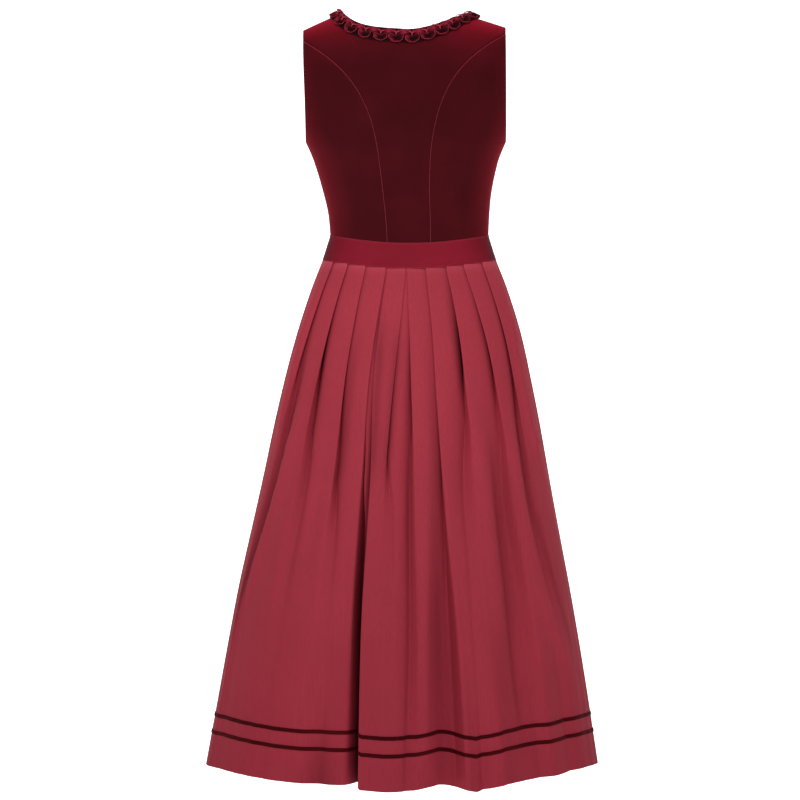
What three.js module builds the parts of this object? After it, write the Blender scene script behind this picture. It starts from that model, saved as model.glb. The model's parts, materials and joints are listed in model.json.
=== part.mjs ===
// A sleeveless dirndl in its worn, filled-out form, with nobody in it: a velvet bodice with princess
// seams, a ruched trim round the neck, a smooth waistband, and a knife-pleated skirt with two velvet
// ribbons above its hem. It closes edge to edge at the centre front with hooks and eyes.
//
// Millimetres, +Z up. The wearer faces +Y, and +X is on the wearer's right. The origin lies midway
// between the two shoulder lines, where the shoulders carry the dress.

import * as THREE from 'three';

const mix = THREE.MathUtils.lerp;
const ease = THREE.MathUtils.smoothstep;
const radians = THREE.MathUtils.degToRad;
const NEXT_TO_NOTHING = 1e-6;

// ---------------------------------------------------------------- driving sizes

const VELVET = 2;                  // velvet on its interlining
const BAND_CLOTH = 2;              // waistband, cloth on stiffening
const SKIRT_CLOTH = 1;
const RIBBON_CLOTH = 1;
const SEAM_GAP = 0.3;              // between two pieces that are sewn together
const LAID_ON = 0.3;               // under a piece that lies on another
const TRIM_LAID_ON = 1.1;

const SHOULDER_TIP = 171;          // from the centre, out to the armhole
const SHOULDER_MIDDLE = 138;
const SHOULDER_SLOPE = { left: 0.52, right: 0.34 };
const SHOULDER_ROUNDING = 70;

const ARMHOLE_FOOT = -202;
const WAIST = -364;
const BAND_FOOT = -408;
const HEM = -1264;
const BACK_WAIST_DIP = 5.5;        // the waist seam hangs lower at the centre back

const NECK_HALF_WIDTH = 105;
// The neck's curve, behind and in front: a higher power is squarer. Behind, it is cut a little
// fuller on the wearer's left.
const NECK_BACK = { depth: 86, left: 2.4, right: 1.6 };
const NECK_FRONT = { depth: 200, left: 3, right: 3 };
const TRIM_WIDTH = 24;
const TRIM_STATIONS = 48;

// How far out the back seams stand at the waist, the height where they meet the armhole, and how
// quickly they curl out towards it.
const BACK_SEAM = { left: { waist: 33, top: -32, curl: 75 }, right: { waist: 35, top: -20, curl: 68 } };
const FRONT_SEAM = { waist: 52, rise: 0.22, armhole: 171, top: -104, curl: 22 };

const SEAM_END = 2;                // the princess seams stop this far short of the armhole's turn

const PLEAT_LAP = 0.75;            // how far each pleat runs back under itself, as a share of its width
const PLEAT_DEPTH = 7;
const FOLD_GAP = 2;                // between the middles of two layers that touch, at the waist
const HEM_ROUNDING = 8;            // how blunt the folds have grown at the hem
const RIBBON_WIDTH = 6;
const RIBBON_HEIGHTS = [58, 87];   // middle of each ribbon above the hem

// The bodice's middle line in side view, from the back waist over the shoulder to the front waist.
const SIDE_PROFILE = [
  { y: -90, z: -364 },
  { y: -93, z: -335 },
  { y: -99, z: -290 },
  { y: -105, z: -235 },
  { y: -107, z: -185 },
  { y: -102, z: -135 },
  { y: -90, z: -88 },
  { y: -71, z: -48 },
  { y: -45, z: -15 },
  { y: -20, z: -2 },
  { y: 0, z: 0 },
  { y: 20, z: -3 },
  { y: 42, z: -20 },
  { y: 60, z: -55 },
  { y: 78, z: -100 },
  { y: 102, z: -150 },
  { y: 124, z: -200 },
  { y: 131, z: -243 },
  { y: 121, z: -295 },
  { y: 106, z: -335 },
  { y: 98, z: -364 },
];

// Widths of the bodice: power 2 is an ellipse, more is squarer. Lean is how far the middle stands
// off centre, because the dress hangs a little to one side.
const BODICE_WIDTHS = [
  { z: 0, half: 188, power: 2.5, lean: 0 },
  { z: -110, half: 189, power: 2.5, lean: 0 },
  { z: -150, half: 187, power: 2.5, lean: 0 },
  { z: -178, half: 180.5, power: 2.5, lean: 0 },
  { z: -194, half: 174.5, power: 2.5, lean: 0 },
  { z: -202, half: 171.2, power: 2.5, lean: 0 },
  { z: -238, half: 154.6, power: 2.4, lean: 0.5 },
  { z: -287, half: 142, power: 2.35, lean: 2.5 },
  { z: -325, half: 135.8, power: 2.3, lean: 5 },
  { z: -364, half: 133, power: 2.3, lean: 6 },
];

// Waistband and skirt, as half an ellipse behind and half an ellipse in front.
const SKIRT_WIDTHS = [
  { z: -364, half: 133, back: 90, front: 98, power: 2.3, lean: 6 },
  { z: -386, half: 140, back: 98, front: 105, power: 2.2, lean: 6 },
  { z: -408, half: 147.3, back: 106, front: 112, power: 2, lean: 6 },
  { z: -455, half: 166, back: 128, front: 128, power: 2, lean: 6 },
  { z: -523, half: 188.5, back: 152, front: 143, power: 2, lean: 5.5 },
  { z: -606, half: 209, back: 176, front: 160, power: 2, lean: 3.5 },
  { z: -750, half: 240, back: 208, front: 187, power: 2, lean: 1 },
  { z: -965, half: 285, back: 250, front: 228, power: 2, lean: -2 },
  { z: -1264, half: 336, back: 292, front: 270, power: 2, lean: -5 },
];

// One row for each fold, in order round the skirt from the centre front, past the wearer's left side,
// the centre back and the right side. waist, middle and hem are its places in degrees from the centre
// back, with middle four tenths of the way down. faces is the way its edge points: 1 to the right.
// relaxed is how far down (0 to 1) the pleat has let go of its lap, or 0 for a fold that is no pleat,
// and grows is where its hem fold starts. crest and valley are the fold's edge and bottom at the hem,
// in from the general outline, and slope is how far apart they are there.
const FOLD_COLUMNS = ['waist', 'middle', 'hem', 'faces', 'relaxed', 'grows', 'crest', 'valley', 'slope'];
const FOLDS = [
  [-177.6, -174, -171, -1, 0.5, 0.3, 0, -34, 16],
  [-164.6, -163, -159, -1, 0.38, 0.4, 0, -12, 20],
  [-151.2, -149, -146, -1, 0.44, 0.3, -4, -40, 14],
  [-136.8, -135, -133, -1, 0.35, 0.4, -6, -18, 22],
  [-121, -120, -120, -1, 0.48, 0.35, -2, -30, 16],
  [-104, -104, -106, -1, 0.4, 0.4, 0, -12, 18],
  [-77, -79, -82, 1, 0.4, 0.4, 0, -12, 18],
  [-60.9, -62.6, -70, 1, 0.34, 0.35, -6, -22, 22],
  [-45.2, -48.4, -53, 1, 0.46, 0.5, -18, -30, 22],
  [-30.2, -30.2, -34, 1, 0.42, 0.5, -30, -40, 22],
  [-15.8, -19, -22, 1, 0.4, 0.38, -38, -46, 5],
  [-9, -15.6, -13.4, -1, 0, 0.36, 0, -84, 3],
  [-2.6, -9.2, -7.5, 1, 0.39, 0.4, 2, -2, 18],
  [-1.7, 2.6, 3.5, -1, 0.4, 0.5, 0, -6, 14],
  [10.8, 13.8, 20.5, -1, 0.5, 0.3, -6, -60, 12],
  [24.9, 28, 33, -1, 0.31, 0.3, 0, -12, 22],
  [39.2, 45, 50, -1, 0.39, 0.4, -2, -14, 20],
  [56.6, 60, 65, -1, 0.45, 0.4, 0, -16, 18],
  [74, 76, 80, -1, 0.4, 0.4, 0, -12, 18],
  [104, 104, 105, 1, 0.42, 0.4, 0, -14, 18],
  [121, 121, 119, 1, 0.36, 0.35, -2, -34, 14],
  [136.8, 136, 134, 1, 0.5, 0.4, -6, -16, 22],
  [151.2, 149, 147, 1, 0.4, 0.3, -2, -36, 16],
  [164.6, 163, 160, 1, 0.46, 0.4, 0, -14, 20],
  [177.6, 174, 172, 1, 0.5, 0.3, 0, -30, 16],
].map((row) => Object.fromEntries(row.map((value, i) => [FOLD_COLUMNS[i], value])));

const HOOK_HEIGHTS = [-212, -236, -260, -284, -308, -340, -386];
const HOOK_SIZE = { shank: 9, height: 3, metal: 0.8, clear: 0.65 };

// ---------------------------------------------------------------- colours

const velvet = { color: 0x4a0e18, roughness: 0.85, metalness: 0 };
const trimVelvet = { color: 0x5c121d, roughness: 0.7, metalness: 0 };
const bandSatin = { color: 0x7f1f2a, roughness: 0.6, metalness: 0 };
const skirtCloth = { color: 0x9c3340, roughness: 0.8, metalness: 0 };
const ribbonVelvet = { color: 0x42060a, roughness: 0.9, metalness: 0 };
const hookSteel = { color: 0x2b2b2e, roughness: 0.4, metalness: 0.9 };

const half = SEAM_GAP / 2;
const dress = new THREE.Group();

function addPiece(name, geometry, finish) {
  const piece = new THREE.Mesh(geometry, new THREE.MeshStandardMaterial(finish));
  piece.name = name;
  dress.add(piece);
  return piece;
}

// ---------------------------------------------------------------- walls of cloth

// A cell is split along its other diagonal where that is shorter than this share of the first.
const SKEWED = 0.9;

// Closes a wall between two grids of points with the same rows and columns. Both faces of a cell are
// split along the same diagonal, so the cloth keeps its thickness where it twists.
function wallBetween(outside, inside) {
  const rows = outside.length;
  const columns = outside[0].length;
  const layer = rows * columns;
  const points = [...outside.flat(), ...inside.flat()];
  const triangles = [];
  const quad = (a, b, c, d) => triangles.push(a, b, c, a, c, d);
  const at = (row, column, side) => side * layer + row * columns + column;
  for (let row = 0; row < rows - 1; row += 1) {
    for (let column = 0; column < columns - 1; column += 1) {
      const rising = outside[row][column].distanceTo(outside[row + 1][column + 1]);
      const falling = outside[row][column + 1].distanceTo(outside[row + 1][column]);
      const [a, b, c, d] = [[row, column], [row, column + 1], [row + 1, column + 1], [row + 1, column]];
      const turn = falling < SKEWED * rising ? [b, c, d, a] : [a, b, c, d];
      quad(...turn.map((corner) => at(...corner, 0)));
      quad(...[turn[0], turn[3], turn[2], turn[1]].map((corner) => at(...corner, 1)));
    }
    const last = columns - 1;
    quad(at(row, 0, 0), at(row + 1, 0, 0), at(row + 1, 0, 1), at(row, 0, 1));
    quad(at(row + 1, last, 0), at(row, last, 0), at(row, last, 1), at(row + 1, last, 1));
  }
  for (let column = 0; column < columns - 1; column += 1) {
    const top = rows - 1;
    quad(at(0, column + 1, 0), at(0, column, 0), at(0, column, 1), at(0, column + 1, 1));
    quad(at(top, column, 0), at(top, column + 1, 0), at(top, column + 1, 1), at(top, column, 1));
  }
  return closedGeometry(points, triangles);
}

// A geometry with its faces turned outwards, whichever way round its triangles were listed.
function closedGeometry(points, triangles) {
  let volume = 0;
  for (let i = 0; i < triangles.length; i += 3) {
    const [a, b, c] = [points[triangles[i]], points[triangles[i + 1]], points[triangles[i + 2]]];
    volume += a.dot(b.clone().cross(c));
  }
  const faces = volume > 0 ? triangles : triangles.slice().reverse();
  const geometry = new THREE.BufferGeometry().setFromPoints(points);
  geometry.setIndex(faces);
  geometry.computeVertexNormals();
  return geometry;
}

// Reads a smooth curve through one column of a table whose rows run down in z.
function readTable(table, z, column) {
  const last = table.length - 2;
  let i = table.findIndex((row, index) => index > 0 && z >= row.z) - 1;
  i = i < 0 ? last : Math.min(i, last);
  const [low, high] = [table[i], table[i + 1]];
  const before = table[Math.max(i - 1, 0)];
  const after = table[Math.min(i + 2, table.length - 1)];
  const span = high.z - low.z;
  const t = THREE.MathUtils.clamp((z - low.z) / span, 0, 1);
  const slopeHere = (high[column] - low[column]) / span;
  const slopeLow = i > 0 ? (high[column] - before[column]) / (high.z - before.z) : slopeHere;
  const slopeHigh = i < last ? (after[column] - low[column]) / (after.z - low.z) : slopeHere;
  const t2 = t * t;
  const t3 = t2 * t;
  return (2 * t3 - 3 * t2 + 1) * low[column] + (t3 - 2 * t2 + t) * span * slopeLow
    + (3 * t2 - 2 * t3) * high[column] + (t3 - t2) * span * slopeHigh;
}

// ---------------------------------------------------------------- the bodice's form

// The cloth's middle surface, by the distance over the shoulder (minus behind, plus in front) and the
// distance out from the centre. A point is reached by its angle round the section, from -90 to 90.
const profile = new THREE.CatmullRomCurve3(
  SIDE_PROFILE.map(({ y, z }) => new THREE.Vector3(0, y, z)), false, 'centripetal');
profile.arcLengthDivisions = 2000;
const profileLength = profile.getLength();

function findOnProfile(test) {
  let low = 0;
  let high = 1;
  for (let step = 0; step < 40; step += 1) {
    const middle = (low + high) / 2;
    if (test(profile.getPointAt(middle))) low = middle;
    else high = middle;
  }
  return low * profileLength;
}

const ridge = findOnProfile((point) => point.y < 0);
const onProfile = (over) => profile.getPointAt(THREE.MathUtils.clamp((ridge + over) / profileLength, 0, 1));
const backOver = (z) => findOnProfile((point) => point.y < 0 && point.z < z) - ridge;
const frontOver = (z) => findOnProfile((point) => point.y <= 0 || point.z > z) - ridge;

const soften = (x) => Math.sqrt(x * x + SHOULDER_ROUNDING * SHOULDER_ROUNDING);

function shoulderSlope(x) {
  const share = 0.5 + 0.5 * x / soften(x);
  return mix(SHOULDER_SLOPE.left, SHOULDER_SLOPE.right, share);
}

function shoulderDrop(x, z) {
  return shoulderSlope(x) * (soften(x) - soften(SHOULDER_MIDDLE)) * ease(z, -150, -5);
}

function bodicePoint(over, x) {
  const middle = onProfile(over);
  const half = readTable(BODICE_WIDTHS, middle.z, 'half');
  const power = readTable(BODICE_WIDTHS, middle.z, 'power');
  const across = Math.min(Math.abs(x) / half, 1);
  const roundness = (1 - across ** power) ** (1 / power);
  const dip = over < 0 ? BACK_WAIST_DIP * roundness * ease(-middle.z, 220, -WAIST) : 0;
  return new THREE.Vector3(
    x + readTable(BODICE_WIDTHS, middle.z, 'lean'),
    middle.y * roundness,
    middle.z - shoulderDrop(x, middle.z) - dip,
  );
}

function angleAt(over, x) {
  const z = onProfile(over).z;
  const across = Math.min(Math.abs(x) / readTable(BODICE_WIDTHS, z, 'half'), 1);
  return Math.sign(x) * Math.asin(across ** (readTable(BODICE_WIDTHS, z, 'power') / 2));
}

function xAtAngle(over, angle) {
  const z = onProfile(over).z;
  const reach = Math.abs(Math.sin(angle)) ** (2 / readTable(BODICE_WIDTHS, z, 'power'));
  return Math.sign(angle) * reach * readTable(BODICE_WIDTHS, z, 'half');
}

// A point of the middle surface with the direction straight out of the cloth there.
function bodiceSkin(over, angle) {
  const turn = 0.02;
  const step = 0.5;
  const at = (distance, direction) => bodicePoint(distance, xAtAngle(distance, direction));
  const inward = angle > 0 ? -turn : turn;
  const ahead = Math.min(over + step, profileLength - ridge);
  const behind = Math.max(over - step, -ridge);
  const point = at(over, angle);
  const lateral = point.clone().sub(at(over, angle + inward));
  lateral.multiplyScalar(angle > 0 ? 1 : -1);
  const along = at(ahead, angle).sub(at(behind, angle));
  return { point, out: lateral.cross(along).normalize() };
}

const movedOut = (skin, distance) => skin.point.clone().addScaledVector(skin.out, distance);

function velvetWall(grid) {
  const outside = grid.map((row) => row.map((skin) => movedOut(skin, VELVET / 2)));
  const inside = grid.map((row) => row.map((skin) => movedOut(skin, -VELVET / 2)));
  return wallBetween(outside, inside);
}

// ---------------------------------------------------------------- seams and edges of the bodice

function neckReachBehind(x) {
  const power = x < 0 ? NECK_BACK.left : NECK_BACK.right;
  const across = Math.min(Math.abs(x) / NECK_HALF_WIDTH, 1);
  return NECK_BACK.depth * (1 - across ** power) ** (1 / power);
}

// A back seam curls out by its real height, which the shoulder's slope lowers as it goes out.
function backSeam(side) {
  const { waist, top, curl } = side < 0 ? BACK_SEAM.left : BACK_SEAM.right;
  return (z) => {
    let low = 0;
    let high = SHOULDER_TIP;
    for (let step = 0; step < 40; step += 1) {
      const x = (low + high) / 2;
      const height = z - shoulderDrop(side * x, z);
      if (mix(waist, SHOULDER_TIP, Math.exp((height - top) / curl)) > x) low = x;
      else high = x;
    }
    return low;
  };
}

const BACK_SEAMS = { left: backSeam(-1), right: backSeam(1) };

function frontSeam(z) {
  const straight = FRONT_SEAM.waist + FRONT_SEAM.rise * (z - WAIST);
  const atTop = FRONT_SEAM.waist + FRONT_SEAM.rise * (FRONT_SEAM.top - WAIST);
  const curl = Math.exp((z - FRONT_SEAM.top) / FRONT_SEAM.curl);
  return Math.min(FRONT_SEAM.armhole, straight + (FRONT_SEAM.armhole - atTop) * curl);
}

// The highest level at which a test still holds, going up from the armhole's foot.
function profileHeight(test) {
  let low = ARMHOLE_FOOT;
  let high = 0;
  for (let step = 0; step < 40; step += 1) {
    const middle = (low + high) / 2;
    if (test(middle)) low = middle;
    else high = middle;
  }
  return low;
}

// How far a panel's edge stays back from a seam, measured across at that height.
function backFromSeam(seam, z) {
  const step = 0.5;
  const slant = (seam(z + step) - seam(z - step)) / (2 * step);
  return half * Math.hypot(1, slant);
}

const LOW_LEVELS = [WAIST + half, -332, -290, -245, ARMHOLE_FOOT];
const BACK_LEVELS = Object.fromEntries(Object.entries(BACK_SEAMS).map(([name, seam]) => {
  const seamTop = profileHeight((z) => seam(z) < SHOULDER_TIP - NEXT_TO_NOTHING);
  return [name, [...LOW_LEVELS, -196, -176, -140, -105, -76, -50, seamTop - SEAM_END]];
}));
const FRONT_LEVELS = [...LOW_LEVELS, -196, -176, -146, -123, FRONT_SEAM.top - SEAM_END];
const BACK_TOP_STEPS = [0.5, 1];
const FRONT_TOP_STEPS = [0.3, 0.65, 1];

// How far over the shoulder a column of the back is cut: at the neck edge, or at the shoulder seam.
function cutTop(share, seam) {
  let low = backOver(ARMHOLE_FOOT);
  let high = -half;
  for (let step = 0; step < 40; step += 1) {
    const middle = (low + high) / 2;
    const x = share * seam(onProfile(middle).z);
    if (-middle > neckReachBehind(x) + half) low = middle;
    else high = middle;
  }
  return low;
}

// The rows of one column of the back. Every column has the shared levels of its seam up to the
// armhole's foot, and above that is spread up to where the cloth is cut.
function backRows(top, levels) {
  const lows = LOW_LEVELS.length - 1;
  const foot = backOver(ARMHOLE_FOOT);
  const seamTop = backOver(levels[levels.length - 1]);
  const overs = [...levels.map(backOver), ...BACK_TOP_STEPS.map((step) => mix(seamTop, -half, step))];
  return overs.map((over, row) => (
    row <= lows ? over : mix(foot, top, (over - foot) / (-half - foot))
  ));
}

// ---------------------------------------------------------------- bodice panels

const BACK_SHARES = [-1, -0.8, -0.62, -0.55, -0.4, 0, 0.4, 0.55, 0.62, 0.8, 1];
const FRONT_SHARES = [0, 0.2, 0.45, 0.72, 1];

const SIDE_SHARES = [0, 0.2, 0.4, 0.6, 0.8, 1];

// Where the front panel's upper rows start on the neck edge, in degrees round it from the centre front.
const FRONT_NECK_STEPS = [0, 12, 32, 54, 72, 83, 90];

function backCentre() {
  const columns = BACK_SHARES.map((share) => {
    const side = share < 0 ? 'left' : 'right';
    const seam = BACK_SEAMS[side];
    return backRows(cutTop(share, seam), BACK_LEVELS[side]).map((over) => {
      const z = onProfile(over).z;
      return bodiceSkin(over, angleAt(over, share * (seam(z) - backFromSeam(seam, z))));
    });
  });
  return columns[0].map((_, row) => columns.map((column) => column[row]));
}

// Each row of a front panel runs straight across the cloth, from the centre front or the neck edge to
// the princess seam or the armhole's edge.
function frontPanel(side) {
  const foot = frontOver(ARMHOLE_FOOT);
  const seamTop = frontOver(FRONT_LEVELS[FRONT_LEVELS.length - 1]);
  const power = side < 0 ? NECK_FRONT.left : NECK_FRONT.right;
  const neckEdge = FRONT_NECK_STEPS.map((degrees) => ({
    x: half + NECK_HALF_WIDTH * Math.sin(radians(degrees)) ** (2 / power),
    over: half + NECK_FRONT.depth * Math.max(Math.cos(radians(degrees)), 0) ** (2 / power),
  }));
  const centreEdge = [...LOW_LEVELS.map(frontOver), mix(foot, neckEdge[0].over, 0.5)];
  const starts = [...centreEdge.map((over) => ({ x: half, over })), ...neckEdge];
  const ends = [...FRONT_LEVELS.map(frontOver), ...FRONT_TOP_STEPS.map((step) => mix(seamTop, half, step))];
  return ends.map((end, row) => {
    const z = onProfile(end).z;
    const edge = frontSeam(z) - backFromSeam(frontSeam, z);
    return FRONT_SHARES.map((share) => {
      const over = mix(starts[row].over, end, share);
      return bodiceSkin(over, angleAt(over, side * mix(starts[row].x, edge, share)));
    });
  });
}

// A side panel runs from its princess seam to the side seam, or above that to the armhole's edge.
function sidePanel(side, levels, toOver, seam) {
  return levels.map((z) => {
    const over = toOver(z);
    const inner = seam(z) + backFromSeam(seam, z);
    const from = angleAt(over, side * Math.min(inner, SHOULDER_TIP - 0.1));
    const edge = z <= ARMHOLE_FOOT ? Math.PI / 2 : Math.abs(angleAt(over, SHOULDER_TIP));
    const inset = half / (z <= ARMHOLE_FOOT ? Math.abs(onProfile(over).y) : SHOULDER_TIP);
    const to = side * (edge - inset);
    return SIDE_SHARES.map((share) => bodiceSkin(over, mix(from, to, share)));
  });
}

addPiece('bodice_back_centre', velvetWall(backCentre()), velvet);
for (const [name, side] of [['left', -1], ['right', 1]]) {
  const sideBack = sidePanel(side, BACK_LEVELS[name], backOver, BACK_SEAMS[name]);
  addPiece(`bodice_side_back_${name}`, velvetWall(sideBack), velvet);
  const sideFront = sidePanel(side, FRONT_LEVELS, frontOver, frontSeam);
  addPiece(`bodice_side_front_${name}`, velvetWall(sideFront), velvet);
  addPiece(`bodice_front_${name}`, velvetWall(frontPanel(side)), velvet);
}

// ---------------------------------------------------------------- ruched neck trim

// The neck edge as a closed loop in the flattened cloth, x across and y over the shoulder.
function neckLoop() {
  const points = [];
  for (let degrees = 0; degrees <= 360; degrees += 1) {
    const angle = radians(degrees);
    const cut = Math.cos(angle) > 0 ? NECK_FRONT : NECK_BACK;
    const power = Math.sin(angle) < 0 ? cut.left : cut.right;
    const x = Math.sign(Math.sin(angle)) * NECK_HALF_WIDTH * Math.abs(Math.sin(angle)) ** (2 / power);
    const over = Math.sign(Math.cos(angle)) * cut.depth * Math.abs(Math.cos(angle)) ** (2 / power);
    points.push(new THREE.Vector3(x, over, 0));
  }
  const loop = new THREE.CatmullRomCurve3(points, false, 'centripetal');
  loop.arcLengthDivisions = 4000;
  return loop;
}

// Across the trim: how far out from the neck edge, and how high its puffs stand there.
const TRIM_SECTION = [
  { from: -2, height: 2 },
  { from: 7, height: 6.5 },
  { from: TRIM_WIDTH - 6, height: 6 },
  { from: TRIM_WIDTH, height: 1.5 },
];

function neckTrim() {
  const loop = neckLoop();
  const opening = 1 / loop.getLength();
  const under = [];
  const over = [];
  for (let station = 0; station <= TRIM_STATIONS; station += 1) {
    const along = mix(opening, 1 - opening, station / TRIM_STATIONS);
    const place = loop.getPointAt(along);
    const heading = loop.getTangentAt(along);
    const away = new THREE.Vector3(-heading.y, heading.x, 0);
    const skins = TRIM_SECTION.map(({ from }) => {
      const spot = place.clone().addScaledVector(away, from);
      const beyondFront = station === 0 || station === TRIM_STATIONS;
      const x = beyondFront ? Math.sign(place.x) * half : spot.x;
      return bodiceSkin(spot.y, angleAt(spot.y, x));
    });
    under.push(skins.map((skin) => movedOut(skin, VELVET / 2 + TRIM_LAID_ON)));
    over.push(skins.map((skin, i) => movedOut(skin, VELVET / 2 + TRIM_LAID_ON + TRIM_SECTION[i].height)));
  }
  return wallBetween(over, under);
}

addPiece('neck_trim', neckTrim(), trimVelvet);

// ---------------------------------------------------------------- waistband and skirt outline

// A level of the lower dress as a function of the angle from the centre back, in radians.
function lowerSection(z) {
  const read = (column) => readTable(SKIRT_WIDTHS, z, column);
  const [reach, back, front, power, lean] = ['half', 'back', 'front', 'power', 'lean'].map(read);
  const dipHere = BACK_WAIST_DIP * (1 - ease(-z, -BAND_FOOT, -BAND_FOOT + 250));
  return (angle) => {
    const sine = Math.sin(angle);
    const cosine = Math.cos(angle);
    const wide = Math.sign(sine) * Math.abs(sine) ** (2 / power);
    const deep = Math.sign(cosine) * Math.abs(cosine) ** (2 / power);
    const dip = dipHere * Math.max(deep, 0);
    return new THREE.Vector3(reach * wide + lean, -deep * (deep > 0 ? back : front), z - dip);
  };
}

// The level's outward direction and its length for each radian, by short steps to both sides.
function outwardAt(section, angle) {
  const small = 0.01;
  const heading = section(angle + small).sub(section(angle - small)).setZ(0);
  const out = new THREE.Vector3(heading.y, -heading.x, 0).normalize();
  return { out, stride: heading.length() / (2 * small) };
}

const BAND_COLUMNS = 36;

function bandWall(levels) {
  const layer = (distance) => levels.map((z) => {
    const section = lowerSection(z);
    const opening = half / (section(Math.PI).y);
    return Array.from({ length: BAND_COLUMNS + 1 }, (_, i) => {
      const angle = mix(-Math.PI + opening, Math.PI - opening, i / BAND_COLUMNS);
      return section(angle).addScaledVector(outwardAt(section, angle).out, distance);
    });
  });
  return wallBetween(layer(BAND_CLOTH / 2), layer(-BAND_CLOTH / 2));
}

addPiece('waistband', bandWall([BAND_FOOT + half, WAIST - half]), bandSatin);

// ---------------------------------------------------------------- pleated skirt

const toHeight = (down) => mix(BAND_FOOT - half, HEM, down);
const downAt = (aboveHem) => 1 - aboveHem / (BAND_FOOT - half - HEM);

// A fold's place at a level: a smooth curve through its places at the waist, the middle and the hem.
function foldAngle(fold, down) {
  const middle = 0.4;
  const byHem = down * (down - middle) / (1 - middle);
  const byMiddle = down * (1 - down) / (middle * (1 - middle));
  const byWaist = (middle - down) * (1 - down) / middle;
  return radians(fold.waist * byWaist + fold.middle * byMiddle + fold.hem * byHem);
}

// How far a pleat runs back under its own edge at the waist. Two pleats that turn away from each
// other share the width between them.
function pleatLap(fold, here) {
  if (fold.relaxed === 0) return 0;
  const beside = FOLDS[here - fold.faces];
  const width = Math.abs(fold.waist - beside.waist);
  const section = lowerSection(BAND_FOOT);
  const { stride } = outwardAt(section, radians((fold.waist + beside.waist) / 2));
  return PLEAT_LAP * radians(width) * stride * (beside.faces === fold.faces ? 1 : 0.5);
}

FOLDS.forEach((fold, i) => {
  fold.lap = pleatLap(fold, i);
});

// How much of an open fold each of its two turns takes up, as shares of the fold.
const TURN = { depth: 0.3, aside: 0.25 };

// Four points across a fold: its edge, turned under; then its valley, turned back.
function foldCorners(fold, down, section) {
  const lapped = fold.lap * (1 - ease(down, 0, fold.relaxed));
  const grown = ease(down, fold.grows, 1);
  const aside = fold.slope * ease(down, fold.relaxed, 1) - lapped;
  const crest = fold.crest * grown;
  const valley = mix(-PLEAT_DEPTH, fold.valley, grown);
  const gap = Math.min(mix(FOLD_GAP, HEM_ROUNDING, grown), (crest - valley) * TURN.depth);
  const open = Math.max(aside, 0) * TURN.aside;
  const edge = foldAngle(fold, down);
  const { stride } = outwardAt(section, edge);
  const corners = [
    { aside: 0, depth: crest },
    { aside: open, depth: crest - gap },
    { aside: aside - open, depth: valley + gap },
    { aside, depth: valley },
  ].map((corner) => ({ angle: edge + fold.faces * corner.aside / stride, depth: corner.depth }));
  return fold.faces > 0 ? corners : corners.reverse();
}

// The side seams lie where two folds away from the slit turn away from each other.
const isSide = (i) => FOLDS[i].faces < 0 && FOLDS[i + 1].faces > 0 && Math.abs(FOLDS[i].waist) > 60;

// The whole round of the skirt at one level, as angles and depths, with a point between each two folds.
function roundOfFolds(down) {
  const section = lowerSection(toHeight(down));
  const folds = FOLDS.map((fold) => foldCorners(fold, down, section));
  const round = [{ angle: -Math.PI, depth: folds[0][0].depth, seam: 'front' }];
  folds.forEach((corners, i) => {
    round.push(...corners);
    const last = corners[3];
    const next = folds[i + 1];
    if (!next) return;
    const crossesSide = last.angle < -Math.PI / 2 === next[0].angle > -Math.PI / 2
      || last.angle < Math.PI / 2 === next[0].angle > Math.PI / 2;
    const angle = (last.angle + next[0].angle) / 2;
    const depth = (last.depth + next[0].depth) / 2;
    round.push({ angle, depth, seam: crossesSide && isSide(i) ? 'side' : null });
  });
  round.push({ angle: Math.PI, depth: folds[folds.length - 1][3].depth, seam: 'front' });
  return { round, section };
}

function plainPoints(down) {
  const { round, section } = roundOfFolds(down);
  return round.map(({ angle, depth, seam }) => {
    const at = seam === 'side' ? Math.sign(angle) * Math.PI / 2 : angle;
    const point = section(at).addScaledVector(outwardAt(section, at).out, depth);
    return { point, seam };
  });
}

const SHARPEST_MITRE = 0.5;        // a sharper corner is cut off

// Moves every point of a level out of the cloth by the same distance, with mitred corners.
function offsetLevel(points, distance) {
  return points.map((point, i) => {
    const before = points[Math.max(i - 1, 0)];
    const after = points[Math.min(i + 1, points.length - 1)];
    const one = point.clone().sub(before).setZ(0);
    const two = after.clone().sub(point).setZ(0);
    if (one.length() < NEXT_TO_NOTHING) one.copy(two);
    if (two.length() < NEXT_TO_NOTHING) two.copy(one);
    one.normalize();
    two.normalize();
    const sum = one.clone().add(two);
    const length = distance / Math.max(1 + one.dot(two), SHARPEST_MITRE);
    return point.clone().add(new THREE.Vector3(sum.y * length, -sum.x * length, 0));
  });
}

const SKIRT_STEPS = [0, 0.12, 0.3, 0.6];   // down the skirt, above its ribbons
const ribbonEdges = [...RIBBON_HEIGHTS].reverse().flatMap((height) => [
  downAt(height + RIBBON_WIDTH / 2),
  downAt(height - RIBBON_WIDTH / 2),
]);
const skirtLevels = [...SKIRT_STEPS, ...ribbonEdges, 1].map((down) => {
  const marked = plainPoints(down);
  return { points: marked.map(({ point }) => point), marks: marked.map(({ seam }) => seam) };
});

// Draws a strip's end back from its seam by half the seam gap.
function drawBack(level, from, to) {
  const strip = level.slice(from, to + 1).map((point) => point.clone());
  const end = strip.length - 1;
  const start = strip[1].clone().sub(strip[0]).setLength(half);
  const finish = strip[end - 1].clone().sub(strip[end]).setLength(half);
  strip[0].add(start);
  strip[end].add(finish);
  return strip;
}

const seamColumns = skirtLevels[0].marks.flatMap((seam, i) => (seam ? [i] : []));
const offsets = (distance) => skirtLevels.map(({ points }) => offsetLevel(points, distance));

function stripOf(layers, from, to, firstLevel, finalLevel) {
  return layers.slice(firstLevel, finalLevel + 1).map((level) => drawBack(level, from, to));
}

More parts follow.
